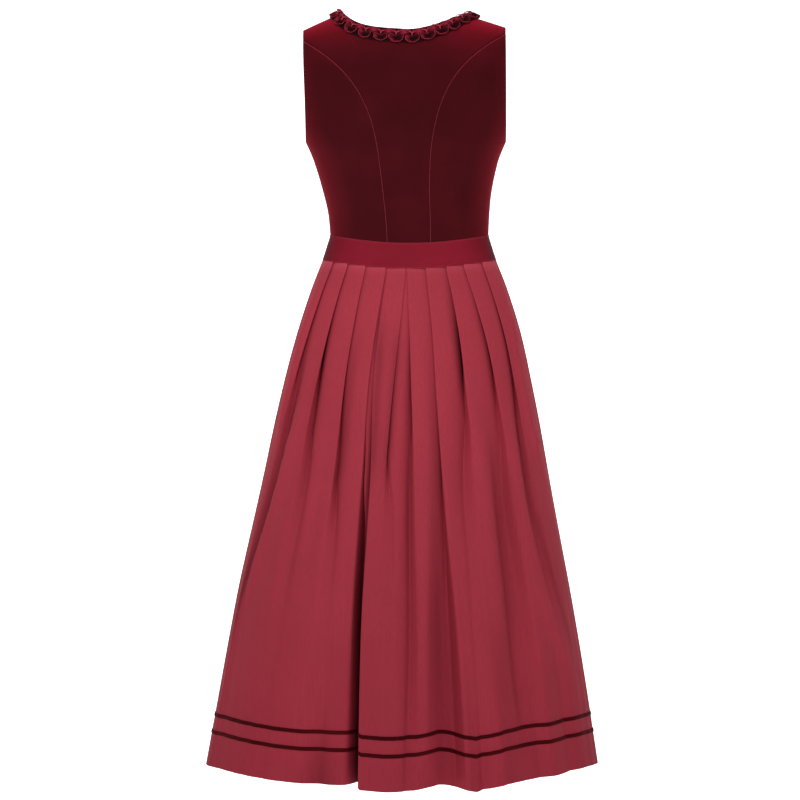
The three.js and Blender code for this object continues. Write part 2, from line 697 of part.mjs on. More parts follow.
const skirtOutside = offsets(SKIRT_CLOTH / 2);
const skirtInside = offsets(-SKIRT_CLOTH / 2);
const lastLevel = skirtLevels.length - 1;
['skirt_front_left', 'skirt_back', 'skirt_front_right'].forEach((name, i) => {
  const [from, to] = [seamColumns[i], seamColumns[i + 1]];
  const outside = stripOf(skirtOutside, from, to, 0, lastLevel);
  const inside = stripOf(skirtInside, from, to, 0, lastLevel);
  addPiece(name, wallBetween(outside, inside), skirtCloth);
});

// ---------------------------------------------------------------- velvet ribbons

const ribbonUnder = offsets(SKIRT_CLOTH / 2 + LAID_ON);
const ribbonOver = offsets(SKIRT_CLOTH / 2 + LAID_ON + RIBBON_CLOTH);
const wholeRound = skirtLevels[0].points.length - 1;
[['ribbon_upper', 0], ['ribbon_lower', 2]].forEach(([name, edge]) => {
  const first = SKIRT_STEPS.length + edge;
  const over = stripOf(ribbonOver, 0, wholeRound, first, first + 1);
  const under = stripOf(ribbonUnder, 0, wholeRound, first, first + 1);
  addPiece(name, wallBetween(over, under), ribbonVelvet);
});

// ---------------------------------------------------------------- hooks and eyes

// Both lie on the inside of the front edges. Their outlines are drawn across the opening (x) and in
// from the cloth (y); the hook reaches over the eye's bar and down behind it.
function hookShape() {
  const { shank, metal, clear } = HOOK_SIZE;
  const lift = metal + 2 * clear;
  const shape = new THREE.Shape();
  shape.moveTo(shank, clear);
  shape.lineTo(0, clear);
  shape.lineTo(0, clear + lift);
  shape.lineTo(-metal - 2 * clear, clear + lift);
  shape.lineTo(-metal - 2 * clear, clear);
  shape.lineTo(-2 * metal - 2 * clear, clear);
  shape.lineTo(-2 * metal - 2 * clear, clear + lift + metal);
  shape.lineTo(metal, clear + lift + metal);
  shape.lineTo(metal, clear + metal);
  shape.lineTo(shank, clear + metal);
  shape.closePath();
  return shape;
}

function eyeShape() {
  const { shank, height, metal, clear } = HOOK_SIZE;
  const reach = height / 2 + clear;
  const bar = -clear;
  const shape = new THREE.Shape();
  shape.moveTo(bar, -reach - metal);
  shape.lineTo(bar, reach + metal);
  shape.lineTo(-shank, reach + metal);
  shape.lineTo(-shank, reach);
  shape.lineTo(bar - metal, reach);
  shape.lineTo(bar - metal, -reach);
  shape.lineTo(-shank, -reach);
  shape.lineTo(-shank, -reach - metal);
  shape.closePath();
  return shape;
}

// The inside of the front edge as a line of points down the bodice and the waistband.
const edgeInside = frontPanel(1).map((row) => movedOut(row[0], -VELVET / 2));
const bandInside = [WAIST, BAND_FOOT].map((z) => lowerSection(z)(Math.PI).setY(0))
  .map((point) => point.setY(lowerSection(point.z)(Math.PI).y - BAND_CLOTH / 2));

// Where that line is at a height, and the way into the dress there.
function frontEdge(z) {
  const line = z > WAIST ? edgeInside : [...bandInside].reverse();
  const i = line.findIndex((point) => point.z >= z) - 1;
  const [low, high] = [line[i], line[i + 1]];
  const rise = high.clone().sub(low).setX(0).normalize();
  const place = low.clone().lerp(high, (z - low.z) / (high.z - low.z));
  return { place, inward: new THREE.Vector3(0, -rise.z, rise.y) };
}

HOOK_HEIGHTS.forEach((z, i) => {
  const { place, inward } = frontEdge(z);
  const across = new THREE.Vector3(1, 0, 0);
  const down = across.clone().cross(inward);
  const { height, metal, clear } = HOOK_SIZE;
  const lean = readTable(z > WAIST ? BODICE_WIDTHS : SKIRT_WIDTHS, z, 'lean');
  const centre = place.clone().setX(lean);

  const hook = new THREE.ExtrudeGeometry(hookShape(), { depth: height, bevelEnabled: false });
  hook.translate(clear, 0, -height / 2);
  const hookPiece = addPiece(`hook_${i + 1}`, hook, hookSteel);
  hookPiece.quaternion.setFromRotationMatrix(new THREE.Matrix4().makeBasis(across, inward, down));
  hookPiece.position.copy(centre);

  const eye = new THREE.ExtrudeGeometry(eyeShape(), { depth: metal, bevelEnabled: false });
  eye.translate(clear, 0, -clear - metal);
  const eyePiece = addPiece(`eye_${i + 1}`, eye, hookSteel);
  const out = inward.clone().negate();
  eyePiece.quaternion.setFromRotationMatrix(new THREE.Matrix4().makeBasis(across, down, out));
  eyePiece.position.copy(centre);
});

export default dress;
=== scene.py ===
import json
import math

import bpy
import numpy as np
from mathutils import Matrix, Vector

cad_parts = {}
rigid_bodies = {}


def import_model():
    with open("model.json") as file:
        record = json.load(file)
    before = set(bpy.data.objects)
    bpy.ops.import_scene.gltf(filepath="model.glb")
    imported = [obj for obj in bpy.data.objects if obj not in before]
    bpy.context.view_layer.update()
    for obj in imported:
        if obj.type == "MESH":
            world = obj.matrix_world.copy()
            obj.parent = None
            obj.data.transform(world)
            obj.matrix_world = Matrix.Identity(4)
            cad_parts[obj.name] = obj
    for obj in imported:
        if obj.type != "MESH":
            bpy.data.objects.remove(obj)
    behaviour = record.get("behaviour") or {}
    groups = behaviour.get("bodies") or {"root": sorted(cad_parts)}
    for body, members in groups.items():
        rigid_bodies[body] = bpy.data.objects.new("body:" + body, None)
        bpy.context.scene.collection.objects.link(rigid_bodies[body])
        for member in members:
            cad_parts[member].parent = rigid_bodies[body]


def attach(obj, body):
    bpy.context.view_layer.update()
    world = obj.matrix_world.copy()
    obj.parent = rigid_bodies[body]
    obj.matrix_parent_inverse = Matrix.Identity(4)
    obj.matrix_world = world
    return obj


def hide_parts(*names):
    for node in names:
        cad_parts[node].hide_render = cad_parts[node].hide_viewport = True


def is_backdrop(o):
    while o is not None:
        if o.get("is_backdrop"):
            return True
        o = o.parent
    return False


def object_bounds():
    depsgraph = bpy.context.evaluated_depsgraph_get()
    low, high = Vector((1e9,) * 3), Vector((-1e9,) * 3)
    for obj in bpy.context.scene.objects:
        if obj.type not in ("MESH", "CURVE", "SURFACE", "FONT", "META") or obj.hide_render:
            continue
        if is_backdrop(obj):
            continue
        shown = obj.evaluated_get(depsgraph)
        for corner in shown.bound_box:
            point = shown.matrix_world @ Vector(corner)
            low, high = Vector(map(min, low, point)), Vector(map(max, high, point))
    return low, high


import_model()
cad_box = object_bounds()


# ---------------------------------------------------------------- camera, light and floor
# The dress hangs clear of a plain pale floor that curves up into a backdrop, clear when looked at
# from its far side. A long lens looks at the dress from behind, a little from above, and broad soft
# lights stand all round it.


def into_scene(name, data):
    made = bpy.data.objects.new(name, data)
    bpy.context.scene.collection.objects.link(made)
    return made


CAMERA_TILT = 4.45                       # degrees below level
camera = into_scene("camera", bpy.data.cameras.new("camera"))
camera.data.sensor_width = 36
camera.data.lens = 212.4
camera.location = (-0.0099, -8.0, -0.018)
camera.rotation_euler = (math.radians(90 - CAMERA_TILT), 0, 0)
camera.data.clip_end = 60
bpy.context.scene.camera = camera
bpy.context.scene.view_settings.view_transform = "Standard"

# Each light's name, place, the height on the dress that it aims at, width, height and power.
LIGHTS = [
    ("light_above", (-0.5, -3.2, 2.6), -0.6, 2.2, 1.6, 70),
    ("light_left", (-1.5, -5.0, 0.4), -0.7, 1.4, 2.6, 28),
    ("light_right", (2.0, -4.6, 0.4), -0.7, 1.4, 2.6, 14),
    ("light_front", (0, 4.0, 2.6), -0.4, 3.0, 2.0, 18),
]
for name, (x, y, z), aim, width, height, power in LIGHTS:
    lamp = bpy.data.lights.new(name, "AREA")
    lamp.shape = "RECTANGLE"
    lamp.size = width
    lamp.size_y = height
    lamp.energy = power
    light = into_scene(name, lamp)
    light.location = (x, y, z)
    light.rotation_euler = (math.atan2(math.hypot(x, y), z - aim), 0, math.atan2(x, -y))


def feed(tree, node, **inputs):
    """Links or sets a node's inputs. Each goes by its name, with _ for a space, or by i and its
    number."""
    for name, value in inputs.items():
        numbered = name[0] == "i" and name[1:].isdigit()
        target = node.inputs[int(name[1:]) if numbered else name.replace("_", " ")]
        if isinstance(value, bpy.types.NodeSocket):
            tree.links.new(value, target)
        else:
            target.default_value = value
    return node


def add(tree, kind, settings=(), **inputs):
    """A new node, with its settings made and its inputs fed."""
    node = tree.nodes.new(kind)
    for name, value in dict(settings).items():
        setattr(node, name, value)
    return feed(tree, node, **inputs)


def new_material(name):
    material = bpy.data.materials.new(name)
    material.use_nodes = True
    return material, material.node_tree, material.node_tree.nodes["Principled BSDF"]


def smooth_mesh(name, points, faces, **values):
    """A smooth mesh, with any values for its points kept on it under their names."""
    mesh = bpy.data.meshes.new(name)
    mesh.from_pydata(np.asarray(points).tolist(), [], faces)
    mesh.polygons.foreach_set("use_smooth", [True] * len(mesh.polygons))
    for label, value in values.items():
        layer = mesh.attributes.new(label, "FLOAT", "POINT")
        layer.data.foreach_set("value", np.asarray(value, float).ravel())
    mesh.update()
    return mesh


world = bpy.data.worlds.new("studio")
world.use_nodes = True
feed(world.node_tree, world.node_tree.nodes["Background"], Color=(1, 0.985, 0.98, 1), Strength=0.25)
bpy.context.scene.world = world

FLOOR_LEVEL = -1.9
FLOOR_START = -6.0
FLOOR_SIDES = (-8, 8)
SWEEP_RADIUS = 1.5
BACKDROP_AT = 5.0
BACKDROP_TOP = 5.0
sweep = [(FLOOR_START, FLOOR_LEVEL), (BACKDROP_AT - SWEEP_RADIUS, FLOOR_LEVEL)]
for turn in np.radians(np.arange(7.5, 90.1, 7.5)):
    back = SWEEP_RADIUS * (1 - math.sin(turn))
    up = SWEEP_RADIUS * (1 - math.cos(turn))
    sweep.append((BACKDROP_AT - back, FLOOR_LEVEL + up))
sweep.append((BACKDROP_AT, BACKDROP_TOP))
floor = into_scene("floor", smooth_mesh(
    "floor",
    [(x, y, z) for y, z in sweep for x in FLOOR_SIDES],
    [(2 * i, 2 * i + 1, 2 * i + 3, 2 * i + 2) for i in range(len(sweep) - 1)],
))
pale, tree, paper = new_material("pale_paper")
feed(tree, paper, Roughness=0.95, Base_Color=(0.96, 0.96, 0.96, 1))
feed(tree, paper, Emission_Color=(1, 1, 1, 1), Emission_Strength=0.8)
far_side = add(tree, "ShaderNodeNewGeometry").outputs["Backfacing"]
clear = add(tree, "ShaderNodeBsdfTransparent")
one_way = add(tree, "ShaderNodeMixShader", i0=far_side, i1=paper.outputs[0], i2=clear.outputs[0])
feed(tree, tree.nodes["Material Output"], Surface=one_way.outputs[0])
floor.data.materials.append(pale)
floor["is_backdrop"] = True


# ---------------------------------------------------------------- velvet bodice
# Seven panels of cotton velvet on an interlining: a back between two curved princess seams, a side
# back and a side front on each side, and two fronts that meet edge to edge. Their edges are turned
# in and sewn together, so each seam lies in a shallow groove.

MM = 0.001
SEAM_GAP = 0.3 * MM
VELVET = 2 * MM

SHOULDER_TIP = 171 * MM
SHOULDER_MIDDLE = 138 * MM
SHOULDER_SLOPE = (0.52, 0.34)            # on the wearer's left and right
SHOULDER_ROUNDING = 70 * MM
SHOULDER_FADE = (-150 * MM, -5 * MM)     # heights between which the slope comes in
ARMHOLE_FOOT = -202 * MM
ARMHOLE_REACH = (2.4 * MM, -2.4 * MM, -2.6 * MM)     # edge let out at the left top, left foot and right
ARMHOLE_FADE = 50 * MM                   # below the armhole, where that has run out
WAIST = -364 * MM
DIP_START = 220 * MM                     # down from the shoulders, where the waist seam's dip begins
BACK_WAIST_DIP = 9 * MM                  # from the sides of the waist seam down to its centre back
SIDE_WAIST_RISE = 3.5 * MM               # how far its sides and front stand above the set height

# The bodice's middle line in side view (y, z), from the back waist over the shoulder to the front
# waist, in millimetres.
SIDE_PROFILE = [
    (-90, -364), (-93, -335), (-99, -290), (-105, -235), (-107, -185), (-102, -135), (-90, -88),
    (-71, -48), (-45, -15), (-20, -2), (0, 0), (20, -3), (42, -20), (60, -55), (78, -100),
    (102, -150), (124, -200), (131, -243), (121, -295), (106, -335), (98, -364),
]
PROFILE_FINENESS = 40                    # points made for each one given

# Widths of the bodice in millimetres: height, half width, power (2 is an ellipse, more is squarer)
# and how far the middle stands off centre.
BODICE_WIDTHS = np.array([
    (0, 188, 2.5, 0), (-110, 189, 2.5, 0), (-150, 187, 2.5, 0), (-178, 180.5, 2.5, 0),
    (-194, 174.5, 2.5, 0), (-202, 171.2, 2.5, 0), (-238, 154.6, 2.4, 0.5), (-287, 142, 2.35, 2.5),
    (-325, 135.8, 2.3, 5), (-364, 133, 2.3, 6),
])


def mix(a, b, share):
    return a + (b - a) * share


def ease(x, low, high):
    t = np.clip((x - low) / (high - low), 0, 1)
    return t * t * (3 - 2 * t)


def unit(vectors):
    return vectors / np.linalg.norm(vectors, axis=-1, keepdims=True)


def signed_power(values, power):
    return np.sign(values) * np.abs(values) ** power


def read_sizes(table, z):
    """A smooth curve through each column of a table whose first column is the height in mm."""
    z = np.clip(np.asarray(z, float) / MM, table[-1, 0], table[0, 0])
    heights = table[:, 0]
    spans = np.diff(table, axis=0) / np.diff(heights)[:, None]
    slopes = np.empty_like(table)
    slopes[0], slopes[-1] = spans[0], spans[-1]
    slopes[1:-1] = (table[2:] - table[:-2]) / (heights[2:] - heights[:-2])[:, None]
    i = np.clip(np.searchsorted(-heights, -z, side="right") - 1, 0, len(table) - 2)
    span = heights[i + 1] - heights[i]
    t = ((z - heights[i]) / span)[..., None]
    span = span[..., None]
    curve = (2 * t**3 - 3 * t**2 + 1) * table[i] + (t**3 - 2 * t**2 + t) * span * slopes[i]
    curve = curve + (3 * t**2 - 2 * t**3) * table[i + 1] + (t**3 - t**2) * span * slopes[i + 1]
    return [curve[..., k] for k in range(1, table.shape[1])]


def curve_through(points):
    """A centripetal curve through points, as close-set points."""
    points = np.array(points, float)
    ends = np.vstack([2 * points[0] - points[1], points, 2 * points[-1] - points[-2]])
    t = np.linspace(0, 1, PROFILE_FINENESS, endpoint=False)[:, None]
    spans = []
    for p0, p1, p2, p3 in zip(ends, ends[1:], ends[2:], ends[3:]):
        d0, d1, d2 = (np.linalg.norm(b - a) ** 0.5 for a, b in ((p0, p1), (p1, p2), (p2, p3)))
        t1 = ((p1 - p0) / d0 - (p2 - p0) / (d0 + d1) + (p2 - p1) / d1) * d1
        t2 = ((p2 - p1) / d1 - (p3 - p1) / (d1 + d2) + (p3 - p2) / d2) * d1
        bend = (3 * (p2 - p1) - 2 * t1 - t2) * t**2 + (2 * (p1 - p2) + t1 + t2) * t**3
        spans.append(p1 + t1 * t + bend)
    return np.vstack(spans + [points[-1:]])


def lengths_along(line):
    return np.concatenate([[0], np.cumsum(np.linalg.norm(np.diff(line, axis=0), axis=-1))])


def points_at(places, arc, line):
    """Points of a line at places along it."""
    return np.stack([np.interp(places, arc, column) for column in line.T], axis=-1)


profile = curve_through(SIDE_PROFILE) * MM
shoulder_index = PROFILE_FINENESS * SIDE_PROFILE.index((0, 0))
profile_arc = lengths_along(profile)
profile_arc -= profile_arc[shoulder_index]


def back_over(z):
    """How far over the shoulder, minus behind it, the back reaches a height."""
    return np.interp(z, profile[:shoulder_index + 1, 1], profile_arc[:shoulder_index + 1])


def front_over(z):
    return np.interp(-z, -profile[shoulder_index:, 1], profile_arc[shoulder_index:])


def profile_height(over):
    return np.interp(over, profile_arc, profile[:, 1])


def shoulder_drop(x, z):
    soft = np.sqrt(x**2 + SHOULDER_ROUNDING**2)
    slope = mix(*SHOULDER_SLOPE, 0.5 + 0.5 * x / soft)
    middle = math.hypot(SHOULDER_MIDDLE, SHOULDER_ROUNDING)
    return slope * (soft - middle) * ease(z, *SHOULDER_FADE)


def bodice_point(over, x):
    """A point of the velvet's middle, by the distance over the shoulder and the distance across."""
    over, x = np.broadcast_arrays(np.asarray(over, float), np.asarray(x, float))
    y = np.interp(over, profile_arc, profile[:, 0])
    z = profile_height(over)
    half, power, lean = read_sizes(BODICE_WIDTHS, z)
    across = np.clip(np.abs(x) / (half * MM), 0, 1)
    roundness = (1 - across**power) ** (1 / power)
    dip = np.where(over < 0, BACK_WAIST_DIP * roundness**4, 0) - SIDE_WAIST_RISE
    dip = dip * ease(-z, DIP_START, -WAIST)
    top_left, foot_left, right = ARMHOLE_REACH
    reach = np.where(x < 0, mix(foot_left, top_left, ease(z, ARMHOLE_FOOT, 0)), right)
    reach = reach * ease(z, ARMHOLE_FOOT - ARMHOLE_FADE, ARMHOLE_FOOT) * x / SHOULDER_TIP
    return np.stack([x + lean * MM + reach, y * roundness, z - shoulder_drop(x, z) - dip], axis=-1)


def angle_at(over, x):
    half, power, _ = read_sizes(BODICE_WIDTHS, profile_height(over))
    return np.sign(x) * np.arcsin(np.clip(np.abs(x) / (half * MM), 0, 1) ** (power / 2))


def across_at(over, angle):
    half, power, _ = read_sizes(BODICE_WIDTHS, profile_height(over))
    return signed_power(np.sin(angle), 2 / power) * half * MM


ROLL_PLACES = np.array([0, 0.1, 0.35, 0.7])          # rows of points within a rolled edge


def evenly(lines, count, lip):
    """Sets points along each line of a grid's rows: a few close together within lip of each end, for
    a rolled edge, and the rest evenly."""
    out = np.empty((len(lines), count, 3))
    for line, made in zip(lines, out):
        arc = lengths_along(line)
        reach = min(lip, arc[-1] / 4)
        flat = np.linspace(reach, arc[-1] - reach, count - 2 * len(ROLL_PLACES))
        made[:] = points_at(np.concatenate([
            ROLL_PLACES * reach, flat, arc[-1] - ROLL_PLACES[::-1] * reach]), arc, line)
    return out


def even_grid(dense, rows, columns, lip):
    return evenly(evenly(dense, columns, lip).transpose(1, 0, 2), rows, lip).transpose(1, 0, 2)


def grid_normals(grid, outward):
    normals = np.cross(np.gradient(grid, axis=1), np.gradient(grid, axis=0))
    normals /= np.maximum(np.linalg.norm(normals, axis=-1, keepdims=True), 1e-12)
    middle = (grid.shape[0] // 2, grid.shape[1] // 2)
    return normals if np.dot(normals[middle], outward(grid[middle])) > 0 else -normals


def from_axis(point):
    return point * np.array([1, 1, 0])


def cloth_lengths(grid):
    """How far each point of a grid lies along the cloth, from its first column and its first row."""
    across = np.diff(grid, axis=1, prepend=grid[:, :1])
    along = np.diff(grid, axis=0, prepend=grid[:1])
    return np.linalg.norm(across, axis=-1).cumsum(axis=1), np.linalg.norm(along, axis=-1).cumsum(axis=0)


def cell_faces(number):
    """The four-sided faces of a grid of numbered points."""
    corners = [number[:-1, :-1], number[:-1, 1:], number[1:, 1:], number[1:, :-1]]
    return np.stack(corners, axis=-1).reshape(-1, 4)


def cloth_shell(name, grid, thickness, lip, materials, outward=from_axis, proud=0, shade=None):
    """A thin closed shell on a grid of the cloth's middle, with rolled edges. The inside takes the
    last material. proud is how much further out the outside stands and shade is a value that the
    material reads, both for each point."""
    normals = grid_normals(grid, outward)
    u, v = cloth_lengths(grid)
    edge = np.minimum.reduce([u, u[:, -1:] - u, v, v[-1:] - v])
    full = np.sqrt(np.clip(1 - (1 - np.clip(edge / lip, 0, 1)) ** 2, 0, 1))
    outside = grid + normals * (full * (thickness / 2 + proud))[..., None]
    inside = grid - normals * (full * thickness / 2)[..., None]
    rows, columns = grid.shape[:2]
    number = np.arange(rows * columns).reshape(rows, columns)
    under = number.copy()
    under[1:-1, 1:-1] = number.size + np.arange((rows - 2) * (columns - 2)).reshape(rows - 2, -1)

    def both_sides(outer, inner):
        size = 1 if outer.ndim == 2 else outer.shape[2]
        return np.vstack([outer.reshape(-1, size), inner[1:-1, 1:-1].reshape(-1, size)])

    corner = outside[0, 0]
    facing = np.dot(np.cross(outside[0, 1] - corner, outside[1, 0] - corner), normals[1, 1])
    order = -1 if facing < 0 else 1
    faces = np.vstack([cell_faces(number)[:, ::order], cell_faces(under)[:, ::-order]])
    values = {} if shade is None else {"shade": both_sides(shade, shade)}
    mesh = smooth_mesh(name, both_sides(outside, inside), faces.tolist(), **values)
    uv = np.stack([u, v], axis=-1)
    corners = np.empty(len(mesh.loops), int)
    mesh.loops.foreach_get("vertex_index", corners)
    mesh.uv_layers.new(name="cloth").data.foreach_set("uv", both_sides(uv, uv)[corners].ravel())
    for material in materials:
        mesh.materials.append(material)
    half_faces = len(faces) // 2
    last = len(materials) - 1
    mesh.polygons.foreach_set("material_index", [0] * half_faces + [last] * half_faces)
    mesh.update()
    return into_scene(name, mesh)


def colour(code):
    """A colour's code, as on a shade card, in the linear values that a shader takes."""
    parts = [int(code[i:i + 2], 16) / 255 for i in (0, 2, 4)]
    return tuple(p / 12.92 if p <= 0.04045 else ((p + 0.055) / 1.055) ** 2.4 for p in parts) + (1,)


def new_sockets(tree, inputs, outputs):
    """Gives a node group its inputs and outputs, each name with its kind."""
    for direction, given in (("INPUT", inputs), ("OUTPUT", outputs)):
        for name, kind in given.items():
            tree.interface.new_socket(name, in_out=direction, socket_type="NodeSocket" + kind)


def cloth_tone_group():
    """Soft uneven shade of a dyed cloth, from large slow clouds and small specks."""
    tree = bpy.data.node_groups.new("cloth_tone", "ShaderNodeTree")
    kinds = {"Place": "Vector", "Cloud Scale": "Float", "Speck Scale": "Float", "Speck Share": "Float"}
    new_sockets(tree, kinds, {"Tone": "Float"})
    given = add(tree, "NodeGroupInput").outputs
    place = given["Place"]
    cloud = add(tree, "ShaderNodeTexNoise", Vector=place, Scale=given["Cloud Scale"], Detail=3)
    speck = add(tree, "ShaderNodeTexNoise", Vector=place, Scale=given["Speck Scale"], Detail=2)
    tone = add(
        tree, "ShaderNodeMix", i0=given["Speck Share"], i2=cloud.outputs["Fac"], i3=speck.outputs["Fac"])
    add(tree, "NodeGroupOutput", Tone=tone.outputs[0])
    return tree


cloth_tone = cloth_tone_group()


def object_place(tree):
    return add(tree, "ShaderNodeTexCoord").outputs["Object"]


def place_tone(tree, cloud_scale, speck_scale, speck_share):
    """The cloth_tone group's value at the piece's own place."""
    return add(
        tree, "ShaderNodeGroup", {"node_tree": cloth_tone}, Place=object_place(tree),
        Cloud_Scale=cloud_scale, Speck_Scale=speck_scale, Speck_Share=speck_share).outputs["Tone"]


def shade_ramp(tree, source, *stops):
    ramp = add(tree, "ShaderNodeValToRGB", Fac=source)
    elements = ramp.color_ramp.elements
    elements.remove(elements[1])
    for i, (place, code) in enumerate(stops):
        element = elements[0] if i == 0 else elements.new(place)
        element.position = place
        element.color = colour(code)
    return ramp.outputs["Color"]


def mixed(tree, share, under, over):
    return add(tree, "ShaderNodeMix", {"data_type": "RGBA"}, i0=share, i6=under, i7=over).outputs[2]


def bumped(tree, shader, height, strength, distance):
    bump = add(tree, "ShaderNodeBump", Strength=strength, Distance=distance, Height=height)
    feed(tree, shader, Normal=bump.outputs["Normal"])


def velvet_material(name, stops, painted_sheen_colour, sheen_tint, sheen_roughness):
    """Velvet, with a painted sheen where it turns aside and a painted highlight where it lies level."""
    material, tree, shader = new_material(name)
    cloth_colour = shade_ramp(tree, place_tone(tree, 14, 1400, 0.35), *stops)
    # Painted sheen: paler towards the edges, where the velvet turns aside from the eye.
    turned = add(tree, "ShaderNodeLayerWeight", Blend=0.5)
    painted_edge_sheen = shade_ramp(
        tree, turned.outputs["Facing"], (0.15, "000000"), (0.5, "626262"), (0.75, "909090"), (1, "A8A8A8"))
    # Painted highlight: paler where the velvet faces up towards the light above.
    normal = add(tree, "ShaderNodeNewGeometry").outputs["Normal"]
    level = add(tree, "ShaderNodeSeparateXYZ", Vector=normal)
    painted_top_highlight = shade_ramp(
        tree, level.outputs["Z"], (0.26, "000000"), (0.4, "484848"), (0.5, "747474"), (0.66, "A8A8A8"),
        (0.84, "D8D8D8"), (0.95, "ECECEC"))
    # The stronger of the two mixes the painted sheen colour into the velvet's own colour.
    painted_light_share = add(tree, "ShaderNodeMath", {"operation": "MAXIMUM"}, i0=painted_edge_sheen, i1=painted_top_highlight)
    feed(tree, shader, Base_Color=mixed(tree, painted_light_share.outputs["Value"], cloth_colour, colour(painted_sheen_colour)))
    feed(tree, shader, Roughness=0.9, Specular_IOR_Level=0.04)
    feed(tree, shader, Sheen_Weight=0.03, Sheen_Roughness=sheen_roughness, Sheen_Tint=colour(sheen_tint))
    pile = add(tree, "ShaderNodeTexNoise", Vector=object_place(tree), Scale=2600, Detail=2)
    bumped(tree, shader, pile.outputs["Fac"], 0.35, 0.0006)
    return material


def toned_material(name, tone, codes, bump=None, **values):
    """A plain surface with an uneven tone between two colours, and a slight bump from it."""
    material, tree, shader = new_material(name)
    uneven = place_tone(tree, *tone)
    feed(tree, shader, Base_Color=shade_ramp(tree, uneven, (0.3, codes[0]), (0.7, codes[1])), **values)
    if bump:
        bumped(tree, shader, uneven, *bump)
    return material


# C41E38 is the colour of the bodice's painted sheen and painted highlight.
velvet = velvet_material(
    "bodice_velvet", [(0.3, "3C0B10"), (0.5, "430D13"), (0.72, "4B0F15")], "C41E38", "E0203C", 0.3)
lining = toned_material(
    "bodice_lining", (20, 1800, 0.6), ("48161C", "561C23"), (0.2, 0.0003),
    Roughness=0.8, Specular_IOR_Level=0.25)

# Each back seam's distance from the centre at the waist, its height at the armhole and how tightly
# it curls out to there, on the wearer's left and right.
BACK_SEAM = {-1: (34.5 * MM, -32 * MM, 75 * MM), 1: (33 * MM, -20 * MM, 68 * MM)}
FRONT_SEAM = {"waist": 52 * MM, "rise": 0.22, "armhole": 171 * MM, "top": -104 * MM, "curl": 22 * MM}
FRONT_TURN = 0.45                        # how far up a front its outer edge leaves the seam
ARMHOLE_BEND = 14 * MM                   # the armhole's sharp bend at its foot
NECK_HALF_WIDTH = 105 * MM
NECK_BACK = (86 * MM, 2.4, 1.6)          # depth behind, and the curve's power on the left and right
NECK_FRONT = (200 * MM, 3)
SEAM_LIP = 1.6 * MM
ROWS_BELOW = 70                          # of points below the armholes, before they are spaced out


def close_in(low, high, too_low):
    """The places where a test turns, by halving the spans between low and high."""
    for _ in range(40):
        middle = (low + high) / 2
        lower = too_low(middle)
        low, high = np.where(lower, middle, low), np.where(lower, high, middle)
    return low, high


def back_seam(z, side):
    """How far a back seam stands from the centre, by its height before the shoulder's drop."""
    waist, top, curl = BACK_SEAM[side]

    def inside(x):
        return mix(waist, SHOULDER_TIP, np.exp((z - shoulder_drop(side * x, z) - top) / curl)) > x

    return sum(close_in(np.zeros_like(z), np.full_like(z, SHOULDER_TIP), inside)) / 2


def front_seam(z, side):
    straight = FRONT_SEAM["waist"] + FRONT_SEAM["rise"] * (z - WAIST)
    at_top = FRONT_SEAM["waist"] + FRONT_SEAM["rise"] * (FRONT_SEAM["top"] - WAIST)
    curl = np.exp((z - FRONT_SEAM["top"]) / FRONT_SEAM["curl"])
    return np.minimum(FRONT_SEAM["armhole"], straight + (FRONT_SEAM["armhole"] - at_top) * curl)


def seam_end(seam, side):
    """The height where a seam runs out at the armhole."""
    levels = np.linspace(-150 * MM, -2 * MM, 1500)
    return levels[np.argmax(seam(levels, side) > SHOULDER_TIP - 0.3 * MM)]


def neck_back_over(x):
    depth, left, right = NECK_BACK
    power = np.where(x < 0, left, right)
    across = np.clip(np.abs(x) / NECK_HALF_WIDTH, 0, 1)
    return -depth * (1 - across**power) ** (1 / power)


def seam_beside(shares, over):
    z = profile_height(over)
    return np.where(shares < 0, back_seam(z, -1), back_seam(z, 1))


def back_centre_grid():
    widest = math.pi / 2 * 0.94
    shares = np.sin(np.linspace(-1, 1, 161) * widest) / math.sin(widest)
    foot = back_over(ARMHOLE_FOOT)
    neck, _ = close_in(
        np.full(len(shares), foot), np.full(len(shares), -SEAM_GAP / 2),
        lambda over: over < neck_back_over(shares * seam_beside(shares, over)))
    waist = back_over(WAIST + SEAM_GAP / 2)
    rows = [np.full(len(shares), over) for over in np.linspace(waist, foot, ROWS_BELOW, endpoint=False)]
    rows += [mix(foot, neck, share) for share in np.linspace(0, 1, 130)]
    over = np.array(rows)
    return bodice_point(over, shares * seam_beside(shares, over))


def side_grid(side, toover, seam):
    levels = np.concatenate([
        np.linspace(WAIST + SEAM_GAP / 2, ARMHOLE_FOOT, ROWS_BELOW, endpoint=False),
        np.linspace(ARMHOLE_FOOT, ARMHOLE_FOOT + ARMHOLE_BEND, 20, endpoint=False),
        np.linspace(ARMHOLE_FOOT + ARMHOLE_BEND, seam_end(seam, side), 80),
    ])
    over = toover(levels)
    inner = np.minimum(seam(levels, side), SHOULDER_TIP - 0.1 * MM) - 0.12 * MM
    start = np.abs(angle_at(over, inner))
    end = np.where(levels <= ARMHOLE_FOOT, math.pi / 2, np.abs(angle_at(over, SHOULDER_TIP)))
    angles = side * mix(start[:, None], end[:, None], np.linspace(0, 1, 120))
    over = np.broadcast_to(over[:, None], angles.shape)
    return bodice_point(over, across_at(over, angles))


